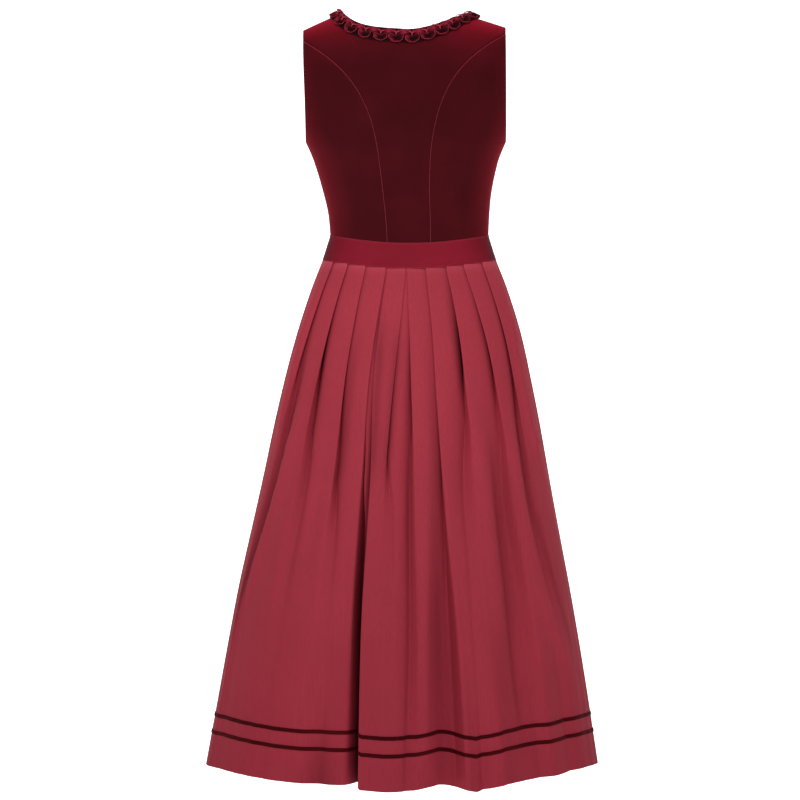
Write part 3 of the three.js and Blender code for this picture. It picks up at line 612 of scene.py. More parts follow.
def front_grid(side):
    steps = np.radians(np.linspace(0, 90, 110))
    depth, power = NECK_FRONT
    neck_x = SEAM_GAP / 2 + NECK_HALF_WIDTH * np.sin(steps) ** (2 / power)
    neck_over = SEAM_GAP / 2 + depth * np.clip(np.cos(steps), 0, 1) ** (2 / power)
    foot = front_over(ARMHOLE_FOOT)
    below = np.linspace(front_over(WAIST + SEAM_GAP / 2), foot, ROWS_BELOW)
    start_over = np.concatenate([below, np.linspace(foot, neck_over[0], 20)[1:-1], neck_over])
    start_x = np.concatenate([np.full(len(start_over) - len(neck_x), SEAM_GAP / 2), neck_x])
    top = front_over(seam_end(front_seam, side))
    pace = np.linspace(0, 1, len(start_over) - ROWS_BELOW)
    to_top = mix(foot, top, pace / FRONT_TURN)
    to_shoulder = mix(top, SEAM_GAP / 2, (pace - FRONT_TURN) / (1 - FRONT_TURN))
    end_over = np.concatenate([below, np.where(pace < FRONT_TURN, to_top, to_shoulder)])
    end_x = front_seam(profile_height(end_over), side)
    shares = np.linspace(0, 1, 100)
    over = mix(start_over[:, None], end_over[:, None], shares)
    return bodice_point(over, side * mix(start_x[:, None], end_x[:, None], shares))


def panel(name, dense, rows, columns):
    grid = even_grid(dense, rows, columns, SEAM_LIP)
    piece = cloth_shell(f"{name}_velvet", grid, VELVET, SEAM_LIP, [velvet, lining])
    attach(piece, "root")
    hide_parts(name)


panel("bodice_back_centre", back_centre_grid(), 110, 110)
for word, side in (("left", -1), ("right", 1)):
    grid = side_grid(side, back_over, back_seam)
    panel(f"bodice_side_back_{word}", grid, 90, 60)
    grid = side_grid(side, front_over, front_seam)
    panel(f"bodice_side_front_{word}", grid, 80, 60)
    panel(f"bodice_front_{word}", front_grid(side), 110, 60)


# ---------------------------------------------------------------- seam stitching
# The princess seams are top-stitched by hand along their outer side with a twisted silk thread a
# little lighter than the velvet: one small stitch after another, lying close along the seam.


def ring_faces(rings, around):
    """Faces over rings of points that each run once round, with both ends closed."""
    number = np.arange(rings * around).reshape(rings, around)
    sides = cell_faces(np.concatenate([number, number[:, :1]], axis=1))
    return sides.tolist() + [number[0, ::-1].tolist(), number[-1].tolist()]


def copies_tree():
    """Sets a copy of one shape on every point, turned to the point's own along and out."""
    tree = bpy.data.node_groups.new("sewn_copies", "GeometryNodeTree")
    kinds = {"Geometry": "Geometry", "Shape": "Object", "Cloth": "Material"}
    new_sockets(tree, kinds, {"Geometry": "Geometry"})
    given = add(tree, "NodeGroupInput").outputs
    vector = {"data_type": "FLOAT_VECTOR"}
    out, along, size = (
        add(tree, "GeometryNodeInputNamedAttribute", vector, Name=name).outputs["Attribute"]
        for name in ("out", "along", "size"))
    shape = add(tree, "GeometryNodeObjectInfo", Object=given["Shape"]).outputs["Geometry"]
    axes = {"primary_axis": "Z", "secondary_axis": "X"}
    turn = add(tree, "FunctionNodeAxesToRotation", axes, i0=out, i1=along).outputs["Rotation"]
    copies = add(
        tree, "GeometryNodeInstanceOnPoints",
        Points=given["Geometry"], Instance=shape, Rotation=turn, Scale=size).outputs["Instances"]
    real = add(tree, "GeometryNodeRealizeInstances", Geometry=copies).outputs["Geometry"]
    cloth = add(tree, "GeometryNodeSetMaterial", Geometry=real, Material=given["Cloth"])
    add(tree, "NodeGroupOutput", Geometry=cloth.outputs["Geometry"])
    return tree


sewn_copies = copies_tree()


def sew_copies(name, shape_mesh, points, along, out, size, material):
    """One real piece from copies of a small shape at points, turned and sized one by one."""
    spots = bpy.data.meshes.new(name + "_spots")
    spots.from_pydata(points.tolist(), [], [])
    for label, values in (("along", along), ("out", out), ("size", size)):
        spots.attributes.new(label, "FLOAT_VECTOR", "POINT").data.foreach_set("vector", values.ravel())
    carrier = into_scene(name + "_spots", spots)
    shape = into_scene(name + "_shape", shape_mesh)
    modifier = carrier.modifiers.new("copies", "NODES")
    modifier.node_group = sewn_copies
    chosen = {"Shape": shape, "Cloth": material}
    for item in sewn_copies.interface.items_tree:
        if item.name in chosen:
            modifier[item.identifier] = chosen[item.name]
    bpy.context.view_layer.update()
    made = bpy.data.meshes.new_from_object(carrier.evaluated_get(bpy.context.evaluated_depsgraph_get()))
    bpy.data.objects.remove(carrier)
    bpy.data.objects.remove(shape)
    made.name = name
    return into_scene(name, made)


silk_thread = toned_material(
    "silk_thread", (60, 2500, 0.5), ("86283A", "9C3448"), Roughness=0.5, Specular_IOR_Level=0.3)
STITCH = {"length": 2.3 * MM, "width": 0.9 * MM, "rise": 0.45 * MM, "every": 2.7 * MM, "beside": 1.1 * MM}


def ring_turns(around):
    return np.arange(around) * 2 * math.pi / around


def stitch_mesh():
    around = 6
    turn = ring_turns(around)
    rings = [
        np.stack([
            np.full(around, step * STITCH["length"]),
            np.cos(turn) * STITCH["width"] / 2 * full,
            np.sin(turn) * STITCH["rise"] * full + 0.15 * MM,
        ], axis=-1)
        for step, full in ((-0.5, 0.25), (-0.28, 0.95), (0.28, 0.95), (0.5, 0.25))]
    return smooth_mesh("stitch", np.vstack(rings), ring_faces(4, around))


def along_line(line, every):
    """Even places along a line of points: position and heading."""
    arc = lengths_along(line)
    count = int(arc[-1] / every)
    places = (np.arange(count) + 0.5) * arc[-1] / count
    spots = points_at(places, arc, line)
    return spots, unit(points_at(places + 0.2 * every, arc, line) - spots)


def velvet_out(over, x):
    """The velvet's outward direction."""
    step = 0.5 * MM
    across = bodice_point(over, x + step) - bodice_point(over, x - step)
    along = bodice_point(over + step, x) - bodice_point(over - step, x)
    return unit(np.cross(across, along))


rng = np.random.default_rng(4)
for word, side in (("left", -1), ("right", 1)):
    for where, seam, toover in (("back", back_seam, back_over), ("front", front_seam, front_over)):
        levels = np.linspace(WAIST + 1 * MM, seam_end(seam, side) - 2 * MM, 900)
        over = toover(levels)
        x = side * (seam(levels, side) + STITCH["beside"])
        line = bodice_point(over, x)
        spots, heading = along_line(line, STITCH["every"])
        out = velvet_out(over, x)
        if np.dot(out[0], from_axis(line[0])) < 0:
            out = -out
        places = lengths_along(spots) + 0.5 * STITCH["every"]
        out = points_at(places, lengths_along(line), out)
        size = rng.uniform(0.92, 1.06, (len(spots), 1)) * np.ones((1, 3))
        stitches = sew_copies(
            f"stitches_{where}_{word}", stitch_mesh(), spots + out * VELVET / 2, heading, out, size,
            silk_thread)
        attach(stitches, "root")


# ---------------------------------------------------------------- heart trim round the neck
# A strip of the same velvet, gathered by hand into a row of little puffed hearts: at every step the
# strip's two sides are caught together by a tie, so the cloth below the tie opens into a hollow
# heart, and the cloth above it fans out in fine folds and rolls over the neck edge.

TRIM_WIDTH = 19 * MM
TRIM_OVERHANG = 1.5 * MM                 # how far the strip stands in over the neck edge
STRIP_HEIGHT = 1.6 * MM
HEART_PITCH = 24.2 * MM
HEART_PHASE = 15.5 * MM                  # from the centre back to the nearest heart on the left
HEART = {"half": 11.6 * MM, "reach": 7.6 * MM, "rim": 5.2 * MM}
PUFF = {"half": 0.53 * HEART_PITCH, "reach": 5.4 * MM, "rise": 4.6 * MM}
FAN = {"half": 10.4, "reach": 6.6, "height": 4.5, "arch": 2.1, "fall": 0.6}      # of fine folds, in mm
HEART_FROM = 13.2 * MM                   # the middles of hearts, puffs and ties, out from the neck edge
PUFF_FROM = 3.6 * MM
TIE_FROM = 7.0 * MM
SHOULDER_PLUMPNESS = (0.15, 24 * MM)     # how much thicker the trim is on the shoulders, and how far on
BODICE_MIDDLE = np.array([0, 0, -0.12])  # a point inside the bodice, to tell in from out
KINDS = 3                                # of each shape, that take turns


def neck_loop():
    """The neck edge once round from the centre front by the wearer's right, as places across and
    over the shoulder."""
    angle = np.radians(np.linspace(0, 360, 1441))
    front = np.cos(angle) > 0
    power = np.where(front, NECK_FRONT[1], np.where(np.sin(angle) < 0, NECK_BACK[1], NECK_BACK[2]))
    across = signed_power(np.sin(angle), 2 / power)
    over = np.where(front, NECK_FRONT[0], -NECK_BACK[0]) * np.abs(np.cos(angle)) ** (2 / power)
    return np.stack([NECK_HALF_WIDTH * across, over], axis=-1)


loop = neck_loop()
loop = loop[np.concatenate([[True], np.diff(lengths_along(loop)) > 1e-7])]
loop_arc = lengths_along(loop)
back_start = loop_arc[np.argmin(np.abs(loop[:, 0]) + (loop[:, 1] > 0))]


def neck_frame(along, away):
    """On the velvet beside the neck edge: place, direction round the neck, outward direction and
    direction away from the edge."""
    along = np.asarray(along, float) % loop_arc[-1]
    step = 4 * MM
    low, high = np.clip(along - step, 0, loop_arc[-1]), np.clip(along + step, 0, loop_arc[-1])
    heading = unit(points_at(high, loop_arc, loop) - points_at(low, loop_arc, loop))
    beside = np.stack([heading[..., 1], -heading[..., 0]], axis=-1)
    middle = points_at(along, loop_arc, loop)
    beside *= np.where((beside * middle).sum(-1, keepdims=True) < 0, -1, 1)
    spot = middle + beside * np.asarray(away, float)[..., None]
    place, ahead, further = (
        bodice_point(at[..., 1], at[..., 0]) for at in (spot, spot + heading * MM, spot + beside * MM))
    forward, sideways = ahead - place, further - place
    out = unit(np.cross(forward, sideways))
    out *= np.where((out * (place - BODICE_MIDDLE)).sum(-1, keepdims=True) < 0, -1, 1)
    return place, unit(forward), out, unit(sideways)


def point_value(tree, name):
    return add(tree, "ShaderNodeAttribute", {"attribute_name": name}).outputs["Fac"]


def trim_velvet_material():
    material, tree, shader = new_material("trim_velvet")
    tone = place_tone(tree, 90, 1600, 0.4)
    cloth_colour = shade_ramp(tree, tone, (0.3, "2A070B"), (0.7, "3E0C12"))
    # The rim value paints light into the trim's colour: painted shade in the hollows, painted highlights on
    # rims and folds.
    lit = shade_ramp(
        tree, point_value(tree, "rim"),
        (0, "160405"), (0.25, "34090E"), (0.5, "6E1626"), (0.8, "B02C42"), (1, "DC5068"))
    feed(tree, shader, Base_Color=mixed(tree, 0.86, cloth_colour, lit), Roughness=0.85, Specular_IOR_Level=0.08)
    feed(tree, shader, Sheen_Weight=0.12, Sheen_Tint=colour("E0405A"))
    bumped(tree, shader, tone, 0.3, 0.0004)
    return material


trim_velvet = trim_velvet_material()

# The rings of a heart, from its foot outside, over the rim and down into the hollow: size, height
# as a share of the rim's, and how well lit.
HEART_RINGS = (
    (0.80, 0, 0.1), (0.97, 0.25, 0.15), (1.04, 0.55, 0.3), (1.02, 0.86, 0.35), (0.98, 1, 1),
    (0.94, 0.98, 0.6), (0.88, 0.84, 0.3), (0.78, 0.5, 0.3), (0.58, 0.26, 0.22), (0.3, 0.12, 0.08),
    (0.08, 0.1, 0.04),
)


def heart_mesh(turned):
    """A puffed heart with a hollow middle: its notch at the tie and its blunt point away from it.
    Its points run x round the neck, y away from the neck edge and z outwards."""
    around = 32
    t = ring_turns(around)
    from_notch = np.minimum(t, 2 * math.pi - t)
    notch = 1 - 0.5 * np.exp(-((from_notch / 0.3) ** 2))
    wide = notch * signed_power(np.sin(t), 0.8) * (1 + 0.26 * np.cos(t)) * HEART["half"]
    tall = -notch * signed_power(np.cos(t), 0.75) * HEART["reach"]
    wrinkle = 0.5 * np.sin(5 * t + turned) + 0.5 * np.sin(9 * t + 2 * turned)
    points, rim = [], []
    for size, rise, light in HEART_RINGS:
        tuck = size * (1 - 0.07 * wrinkle * (1 - abs(rise - 1)))
        height = HEART["rim"] * rise * (1 + 0.07 * wrinkle * (rise > 0.5))
        sunk = 0.35 * np.exp(-((from_notch / 0.5) ** 2)) * height
        points.append(np.stack([wide * tuck, tall * tuck, height - sunk], axis=-1))
        # Painted highlights on the rim, the folds and one side, and painted shade on the side turned away.
        on_rim = 0.16 * np.sin(3 * t + turned) * (light > 0.6)
        on_folds = 0.2 * np.maximum(np.cos(4 * t + turned), 0) * (0.5 < size < 0.9)
        on_side = 0.24 * np.maximum(np.sin(t + 0.5 * np.sin(turned)), 0) * (0.3 < size < 0.9)
        turned_away = 0.12 * np.maximum(-np.sin(t), 0) * (light < 0.9)
        rim.append(np.clip(light + on_rim + on_folds + on_side - turned_away, 0, 1))
    faces = ring_faces(len(HEART_RINGS), around)
    return smooth_mesh("heart", np.vstack(points), faces, rim=np.concatenate(rim))


def puff_mesh(turned):
    """The puff between two ties above the hearts: a plump lens that rolls over the neck edge."""
    long_steps, wide_steps = 15, 11
    u, v = np.meshgrid(np.linspace(-1, 1, long_steps), np.linspace(-1, 1, wide_steps), indexing="ij")
    ends = np.clip(1 - np.abs(u) ** 2.2, 0, 1) ** 0.6
    x = u * PUFF["half"]
    y = v * PUFF["reach"] * (0.32 + 0.68 * ends)
    folds = 0.16 * np.cos(3.2 * v * math.pi + turned) * np.abs(u) ** 1.2
    z = PUFF["rise"] * np.clip(1 - np.abs(v) ** 2.4, 0, 1) ** 0.5 * (0.3 + 0.7 * ends) * (1 + folds)
    top = np.stack([x, y, z], axis=-1).reshape(-1, 3)
    under = np.stack([x, y * 0.96, z * 0 - 0.4 * MM], axis=-1)[:, 1:-1].reshape(-1, 3)
    number = np.arange(u.size).reshape(u.shape)
    below = number.copy()
    below[:, 1:-1] = u.size + np.arange(len(under)).reshape(long_steps, -1)
    faces = cell_faces(number)[:, [0, 3, 2, 1]].tolist() + cell_faces(below).tolist()
    for end, order in ((0, 1), (-1, -1)):
        faces.append((number[end].tolist() + below[end, -2:0:-1].tolist())[::order])
    # Painted light: brighter in the middle and on the folds, with the underside in painted shade.
    light = 0.3 + 0.4 * np.exp(-((u / 0.5) ** 2)) + 0.34 * np.cos(4.2 * v * math.pi + turned) * np.abs(u)
    rim = np.concatenate([np.clip(light, 0.05, 0.85).ravel(), np.full(len(under), 0.05)])
    return smooth_mesh("puff", np.vstack([top, under]), faces, rim=rim)


def fold_rings(bend):
    """The rings of one fine fold of the fan above a tie, from the tie up to the neck edge."""
    turn = ring_turns(6)
    rings = []
    for s in np.linspace(0, 1, 7):
        high = FAN["height"] + FAN["arch"] * math.sin(s**0.8 * math.pi) - FAN["fall"] * s
        middle = np.array([bend * FAN["half"] * s**0.9, -FAN["reach"] * s, high]) * MM
        wide = (0.65 + 0.2 * math.sin(s * math.pi)) * MM
        rings.append(middle + np.stack([np.cos(turn) * wide, 0 * turn, np.sin(turn) * wide * 1.3], axis=-1))
    return rings


def knot_rings():
    turn = ring_turns(8)
    return [
        np.stack([np.cos(turn) * wide, 0 * turn + y, 3.7 + np.sin(turn) * wide], axis=-1) * MM
        for y, wide in ((-0.8, 0.5), (0, 1), (1.6, 1), (2.8, 0.5))]


def tie_mesh(turned):
    """A tie with the fine folds that fan up from it."""
    points, faces, rim = np.empty((0, 3)), [], []
    bends = (-1.0, -0.42 + 0.1 * math.sin(turned), 0.42 + 0.1 * math.cos(turned), 1.0)
    # Painted light: each fold paler near the tie, and the knot painted bright.
    parts = [(fold_rings(bend), np.linspace(1, 0.75, 7) * (1 if abs(bend) > 0.9 else 0.85)) for bend in bends]
    for rings, light in parts + [(knot_rings(), np.full(4, 0.95))]:
        around = len(rings[0])
        faces += [[k + len(points) for k in face] for face in ring_faces(len(rings), around)]
        points = np.vstack([points, *rings])
        rim.append(np.repeat(light, around))
    return smooth_mesh("tie", points, faces, rim=np.concatenate(rim))


hearts = round(loop_arc[-1] / HEART_PITCH)
pitch = loop_arc[-1] / hearts
stations = (back_start + HEART_PHASE + (np.arange(hearts) - hearts // 2) * pitch) % loop_arc[-1]
steps = np.linspace(0.2 * MM, loop_arc[-1] - 0.2 * MM, 420)
across_strip = np.linspace(-TRIM_OVERHANG, TRIM_WIDTH, 14)
place, _, out, _ = neck_frame(*np.meshgrid(steps, across_strip, indexing="ij"))
# The strip carries no rim values, so its colour takes the dark end of the trim's ramp: painted shade between
# the hearts.
strip = cloth_shell(
    "neck_strip", place + out * (VELVET / 2 + STRIP_HEIGHT / 2 + 0.1 * MM), STRIP_HEIGHT, 1.4 * MM,
    [trim_velvet], outward=lambda point: point - BODICE_MIDDLE)
rng = np.random.default_rng(7)
for kind in range(KINDS):
    mine = stations[kind::KINDS]
    count = len(mine)
    for label, shape, at, away, wobble in (
        ("hearts", heart_mesh(2.1 * kind + 0.4), mine, HEART_FROM, 0.1),
        ("puffs", puff_mesh(1.7 * kind), mine + pitch / 2, PUFF_FROM, 0.08),
        ("ties", tie_mesh(1.3 * kind), mine, TIE_FROM, 0.1),
    ):
        place, forward, out, sideways = neck_frame(at, np.full(count, away))
        place = place + out * (VELVET / 2 + STRIP_HEIGHT * 0.6)
        flip = np.where((np.cross(out, forward) * sideways).sum(-1, keepdims=True) < 0, -1, 1)
        forward = flip * forward + rng.normal(0, wobble, (count, 1)) * sideways
        size = 1 + rng.uniform(-wobble, wobble, (count, 3))
        from_shoulder = np.interp(at % loop_arc[-1], loop_arc, loop[:, 1])
        size[:, 2] *= 1 + SHOULDER_PLUMPNESS[0] * np.exp(-((from_shoulder / SHOULDER_PLUMPNESS[1]) ** 2))
        piece = sew_copies(f"neck_{label}_{kind + 1}", shape, place, forward, out, size, trim_velvet)
        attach(piece, "root")
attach(strip, "root")
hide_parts("neck_trim")


# ---------------------------------------------------------------- waistband
# A straight band of satin cotton, folded along its top edge, which takes the bodice above and the
# pleats below. A painted highlight runs along its top edge and, fainter, along its foot, its ends are
# painted darker where they turn aside, the top edge stands up in a firm rim, and it meets at the centre
# front.

BAND_FOOT = -405.5 * MM
BAND_CLOTH = 2 * MM
BAND_OVERLAP = 0.8 * MM                  # over the bodice's foot and the skirt's top
BAND_DIP_ENDS = 130 * MM                 # below the band's foot, where the waist's dip has run out
BAND_FRONT = 112 * MM                    # its depth in front, where it meets
PIPING = {"proud": 1.0 * MM, "below_top": 1.4 * MM, "width": 1.3 * MM}
EDGE_HIGHLIGHT_WIDTHS = (1.3 * MM, 1.2 * MM)           # widths of the painted highlights along the top edge and along the foot

# Sizes of the band and skirt in millimetres: height, half width, depth behind, depth in front,
# power (2 is an ellipse) and how far the middle stands off centre.
SKIRT_WIDTHS = np.array([
    (-364, 133, 90, 98, 2.3, 6), (-386, 140, 98, 105, 2.2, 6), (-408, 147.3, 106, 112, 2, 6),
    (-455, 166, 128, 128, 2, 6), (-523, 188.5, 152, 143, 2, 5.5), (-606, 209, 176, 160, 2, 3.5),
    (-750, 240, 208, 187, 2, 1), (-965, 286.5, 250, 228, 1.95, -3.5), (-1264, 337.5, 296, 270, 1.88, -6.5),
])


def lower_section(z, angle):
    """A point of the band's or skirt's form, by its height and its angle from the centre back."""
    half, back, front, power, lean = read_sizes(SKIRT_WIDTHS, z)
    reach = half * signed_power(np.sin(angle), 2 / power)
    deep = signed_power(np.cos(angle), 2 / power)
    y = -deep * np.where(deep > 0, back, front)
    level = 1 - ease(-z, -BAND_FOOT, -BAND_FOOT + BAND_DIP_ENDS)
    dip = (BACK_WAIST_DIP * np.maximum(deep, 0) ** 4 - SIDE_WAIST_RISE) * level
    return np.stack(np.broadcast_arrays((reach + lean) * MM, y * MM, z - dip), axis=-1)


def outward_at(z, angle):
    """The level outward direction at a place, and how far the form runs for each radian there."""
    step = 0.01
    heading = lower_section(z, angle + step) - lower_section(z, angle - step)
    heading[..., 2] = 0
    length = np.linalg.norm(heading, axis=-1)
    away = np.stack([heading[..., 1], -heading[..., 0], 0 * length], axis=-1)
    return away / length[..., None], length / (2 * step)


def satin_material():
    material, tree, shader = new_material("waistband_satin")
    tone = place_tone(tree, 18, 1500, 0.4)
    cloth_colour = shade_ramp(tree, tone, (0.3, "801A2B"), (0.7, "8C1F2F"))
    # Painted shade: darker where the band turns aside from the eye.
    turned = add(tree, "ShaderNodeLayerWeight", Blend=0.5)
    aside = shade_ramp(tree, turned.outputs["Facing"], (0.1, "000000"), (0.5, "C0C0C0"), (0.8, "FFFFFF"))
    shaded_at_sides = mixed(tree, aside, cloth_colour, colour("5A0F1B"))
    # Painted highlight along the band's edges, from the point value named shade.
    feed(tree, shader, Base_Color=mixed(tree, point_value(tree, "shade"), shaded_at_sides, colour("9C3642")))
    feed(tree, shader, Roughness=0.6, Specular_IOR_Level=0.02)
    bumped(tree, shader, tone, 0.15, 0.0003)
    return material


def band_line(from_line, width):
    """One within width of a line along the band, and falling to nothing away from it."""
    return np.exp(-((from_line / width) ** 2))


satin = satin_material()
band_open = SEAM_GAP / 2 / BAND_FRONT
band_angles = np.linspace(-math.pi + band_open, math.pi - band_open, 900)
band_levels = np.linspace(BAND_FOOT - BAND_OVERLAP, WAIST + BAND_OVERLAP, 60)
band_grid = even_grid(lower_section(band_levels[:, None], band_angles[None, :]), 30, 260, SEAM_LIP)
below_top = band_grid[-1:, :, 2] - band_grid[..., 2]
piping = PIPING["proud"] * band_line(below_top - PIPING["below_top"], PIPING["width"])
# Painted highlights along the top edge and, fainter, along the foot.
painted_edge_highlight = band_line(below_top, EDGE_HIGHLIGHT_WIDTHS[0]) + 0.5 * band_line(below_top.max() - below_top, EDGE_HIGHLIGHT_WIDTHS[1])
waistband = cloth_shell(
    "waistband_satin", band_grid, BAND_CLOTH, SEAM_LIP, [satin, lining], proud=piping, shade=painted_edge_highlight)
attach(waistband, "root")
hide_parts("waistband")


# ---------------------------------------------------------------- pleated skirt
# Three widths of a light crisp weave, joined at the sides, laid in knife pleats that turn away from
# one box-like place at the centre back and are sewn into the band. Below the hip the pleats let go
# into soft folds, one of them a deep slit where a left-hand width falls behind its neighbour.

SKIRT_CLOTH = 1 * MM
HEM = -1264 * MM
PLEAT_LAP = 0.75                         # how far a pleat runs under the next, by its own width
PLEAT_DEPTH = 7 * MM
FOLD_GAP = (2 * MM, 9 * MM)              # room within a fold at the band and at the hem
FACE_ROOM = (1.2 * MM, 11 * MM)          # and between its corner and the first point of a face
SLIT_LIFT = 0.75                         # how far a face between two facing folds is lifted
SWAY = 2.2 * MM                          # how far hung cloth strays from its even form
SWAYS, RIPPLES = 7, 5                    # slow and quick waves in that

# The folds from the centre front round by the wearer's left: which way the edge faces, how far
# down it lets go, how much its face swells, then the edge's angle in degrees at the band and at
# 0.2, 0.4 and 0.7 of the way down and at the hem, the crest at 0.7 and the hem, the valley where it
# lets go, at 0.7 and at the hem, and how far the side of the fold leans out at 0.7 and at the hem
# (all in millimetres).
FOLDS = np.array([
    (-1, .50, 1.6, -177.6, -176, -174, -172, -171, 0, 0, -15, -14, -24, 16, 22),
    (-1, .38, 1.8, -164.6, -164, -163, -161, -159, 0, 0, -13, -7, -10, 24, 28),
    (-1, .44, 1.6, -151.2, -150, -149, -147, -146, 0, -4, -16, -20, -34, 20, 26),
    (-1, .35, 1.8, -136.8, -136, -135, -134, -133, -2, -6, -13, -9, -16, 24, 30),
    (-1, .48, 1.6, -121, -120.5, -120, -120, -120, 0, -2, -15, -17, -28, 20, 26),
    (-1, .40, 1.8, -104, -104, -104, -105, -106, 0, 0, -13, -8, -12, 24, 28),
    (1, .38, 1.8, -86, -87, -87, -87, -87, 0, 0, -2, -3, -4, 24, 30),
    (1, .29, 1.5, -61.6, -66, -70, -76, -80, -2, -4, -12, -10, -8, 14, 30),
    (1, .32, 1.8, -45.2, -47.4, -49.2, -52, -54, -5, -18, -17, -12, -28, 26, 30),
    (1, .41, 1.8, -30.2, -30.8, -30.4, -33, -34, -6, -28, -17, -14, -36, 28, 30),
    (1, .41, 1.5, -15.8, -18.4, -18.0, -18.5, -19.2, -12, -30, -30, -60, -84, 4, 22),
    (-1, .30, 1.3, -15.0, -16.5, -14.6, -14.5, -13.8, 0, 0, -14, -76, -92, 2, 3),
    (1, .37, 1.8, -2.6, -6.4, -8.6, -9.5, -9.5, 2, 4, -10, -3, 0, 26, 28),
    (-1, .30, 1.5, -1.7, 1.1, 3.1, 5.0, 5.2, 0, 2, -17, -17, -5, 13, 22),
    (-1, .50, 1.7, 10.8, 12.5, 14.4, 18.4, 20.2, 2, 0, -20, -30, -32, 5, 9),
    (-1, .30, 1.5, 24.9, 27.2, 27.8, 29, 31, 0, -2, -18, -10, -24, 24, 28),
    (-1, .33, 1.4, 38.2, 44.4, 46.0, 49, 51, 0, -4, -14, -14, -14, 11, 26),
    (-1, .36, 1.4, 56.6, 59.4, 60.4, 64, 67, 0, -6, -14, -6, -16, 20, 28),
    (-1, .36, 1.8, 86, 87, 87, 87, 87, 0, 0, -2, -3, -4, 24, 30),
    (1, .42, 1.8, 104, 104, 104, 105, 105, 0, 0, -13, -8, -14, 24, 28),
    (1, .36, 1.6, 121, 121, 121, 120, 119, 0, -2, -15, -17, -30, 20, 26),
    (1, .50, 1.8, 136.8, 136, 136, 135, 134, -2, -6, -13, -9, -16, 24, 30),
    (1, .40, 1.6, 151.2, 150, 149, 148, 147, 0, -2, -16, -20, -34, 20, 26),
    (1, .46, 1.8, 164.6, 164, 163, 161, 160, 0, 0, -13, -7, -12, 24, 28),
    (1, .50, 1.6, 177.6, 176, 174, 173, 172, 0, 0, -15, -14, -26, 16, 22),
])
SLIT = 11                                # the fold on the near side of the slit, never lapped
SLIT_START = [-3, -2, -3.6]              # its crest at the band and where it lets go, and its valley
SIDE_FOLDS = (6, 18)                     # shallow folds beside the side seams

# Creases and swellings beyond the pleats' own: degrees round where each starts, at its middle and
# at its end, how far down it starts and ends, its rise, and its width on either side, in
# millimetres.
CREASES = np.array([
    (-54.5, -64, -77, .20, .74, 8, 5, 20),         # long bright crease on the left
    (-72, -70, -72.5, .02, .38, 6, 4, 9),          # rim of the outermost pleats
    (52.5, 53.5, 71, .22, .86, 8, 22, 5),          # long bright crease on the right
    (77, 66, 78, .02, .46, 7, 9, 4),
    (29, 33, 32.5, .20, .78, 9, 16, 20),           # ridge beside the fifth pleat from the slit
    (40, 41, 41, .30, .98, -16, 16, 28),           # broad hollow right of it
    (-40, -41, -43, .34, .70, 5, 18, 18),
    (-23.5, -25, -27, .36, .80, 5, 16, 22),
    (-36, -37, -38, .30, .62, -4, 14, 14),
    (8, 8.2, 8, .34, 1.0, 6, 14, 5),
    (12, 13, 14, .36, 1.1, -12, 20, 22),
    (22.5, 23.5, 25.5, .42, .99, 6, 18, 24),
    (19.5, 21, 24, .44, .96, -2, 10, 12),
    (-29, -30, -30, .60, 1.1, -7, 30, 30),
    (-46, -47, -48, .62, 1.1, 6, 30, 30),
    (28, 29, 30, .6, 1.3, 10, 30, 34),
    (-6, -5, -4, .5, 1.3, 15, 22, 34),
    (-150, -149, -149, .4, 1.1, 5, 24, 24),
    (-112, -112, -113, .4, 1.1, 6, 26, 26),
    (-91, -91, -91, .3, 1.1, -6, 26, 26),
    (91, 92, 92, .3, 1.1, -6, 26, 26),
    (113, 113, 112, .4, 1.1, 6, 26, 26),
    (142, 142, 141, .4, 1.1, 5, 24, 24),
])
SHARP_UNDER = 6                          # a crease with a width under this is a sharp one
FACE_STEPS = (0.25, 0.5, 0.75)           # shares of the way across a pleat's face
SEAM_RUN = (0.12, 0.4, 0.7, 1)           # and of the way from an outer fold to a seam
SAMPLES = 3                              # points in each span of the cloth's smoothed line


def smooth_through(stations, values, down):
    """A smooth curve through values at stations down the skirt."""
    table = np.column_stack([-np.array(stations, float), values])
    return read_sizes(table, -np.asarray(down) * MM)[0]


def skirt_height(down):
    return mix(BAND_FOOT - SEAM_GAP / 2, HEM, down)


def folds_at(down):
    """For each fold, at every level: which way it faces, how much its face swells, and its corners
    in the order they come, as angles and depths."""
    z = skirt_height(down)
    room_wanted = mix(*FOLD_GAP, ease(down, 0.3, 1))
    folds = []
    for i, fold in enumerate(FOLDS):
        faces, lets_go, swell = int(fold[0]), fold[1], fold[2]
        lappable = i != SLIT and i not in SIDE_FOLDS
        edge = np.radians(smooth_through([0, 0.2, 0.4, 0.7, 1], fold[3:8], down))
        stations = [0, lets_go, 0.7, 1]
        crest_start = SLIT_START[:2] if i == SLIT else [0, 0]
        crest = smooth_through(stations, crest_start + list(fold[8:10]), down) * MM
        valley_start = SLIT_START[2] if i == SLIT else -PLEAT_DEPTH / MM if lappable else -1
        valley = smooth_through(stations, [valley_start] + list(fold[10:13]), down) * MM
        beside = FOLDS[i - faces]
        middle = math.radians((fold[3] + beside[3]) / 2)
        _, stride = outward_at(skirt_height(0.0), np.array([middle]))
        width = math.radians(abs(fold[3] - beside[3])) * stride[0] * (1 if beside[0] == faces else 0.5)
        lapped = lappable * PLEAT_LAP * width * (1 - ease(down, 0, lets_go))
        leans = [0, fold[13] * 0.6, fold[13], fold[14]]
        lean = smooth_through([lets_go, lets_go + 0.12, 0.7, 1], leans, down)
        lean = np.where(down < lets_go, 0, lean) * MM - lapped
        slot = 4 if swell >= 1.6 else 1.6 * swell
        face = smooth_through([0, lets_go, lets_go + 0.2, 1], [1, slot, swell, swell], down)
        _, stride = outward_at(z, edge)
        room = np.minimum(room_wanted, (crest - valley) * 0.3)
        rounded = np.maximum(lean, 0) * 0.25
        corners = [(0, crest), (rounded, crest - room), (lean - rounded, valley + room), (lean, valley)]
        corners = [(edge + faces * aside / stride, depth) for aside, depth in corners]
        folds.append((faces, face, corners[::faces]))
    return folds


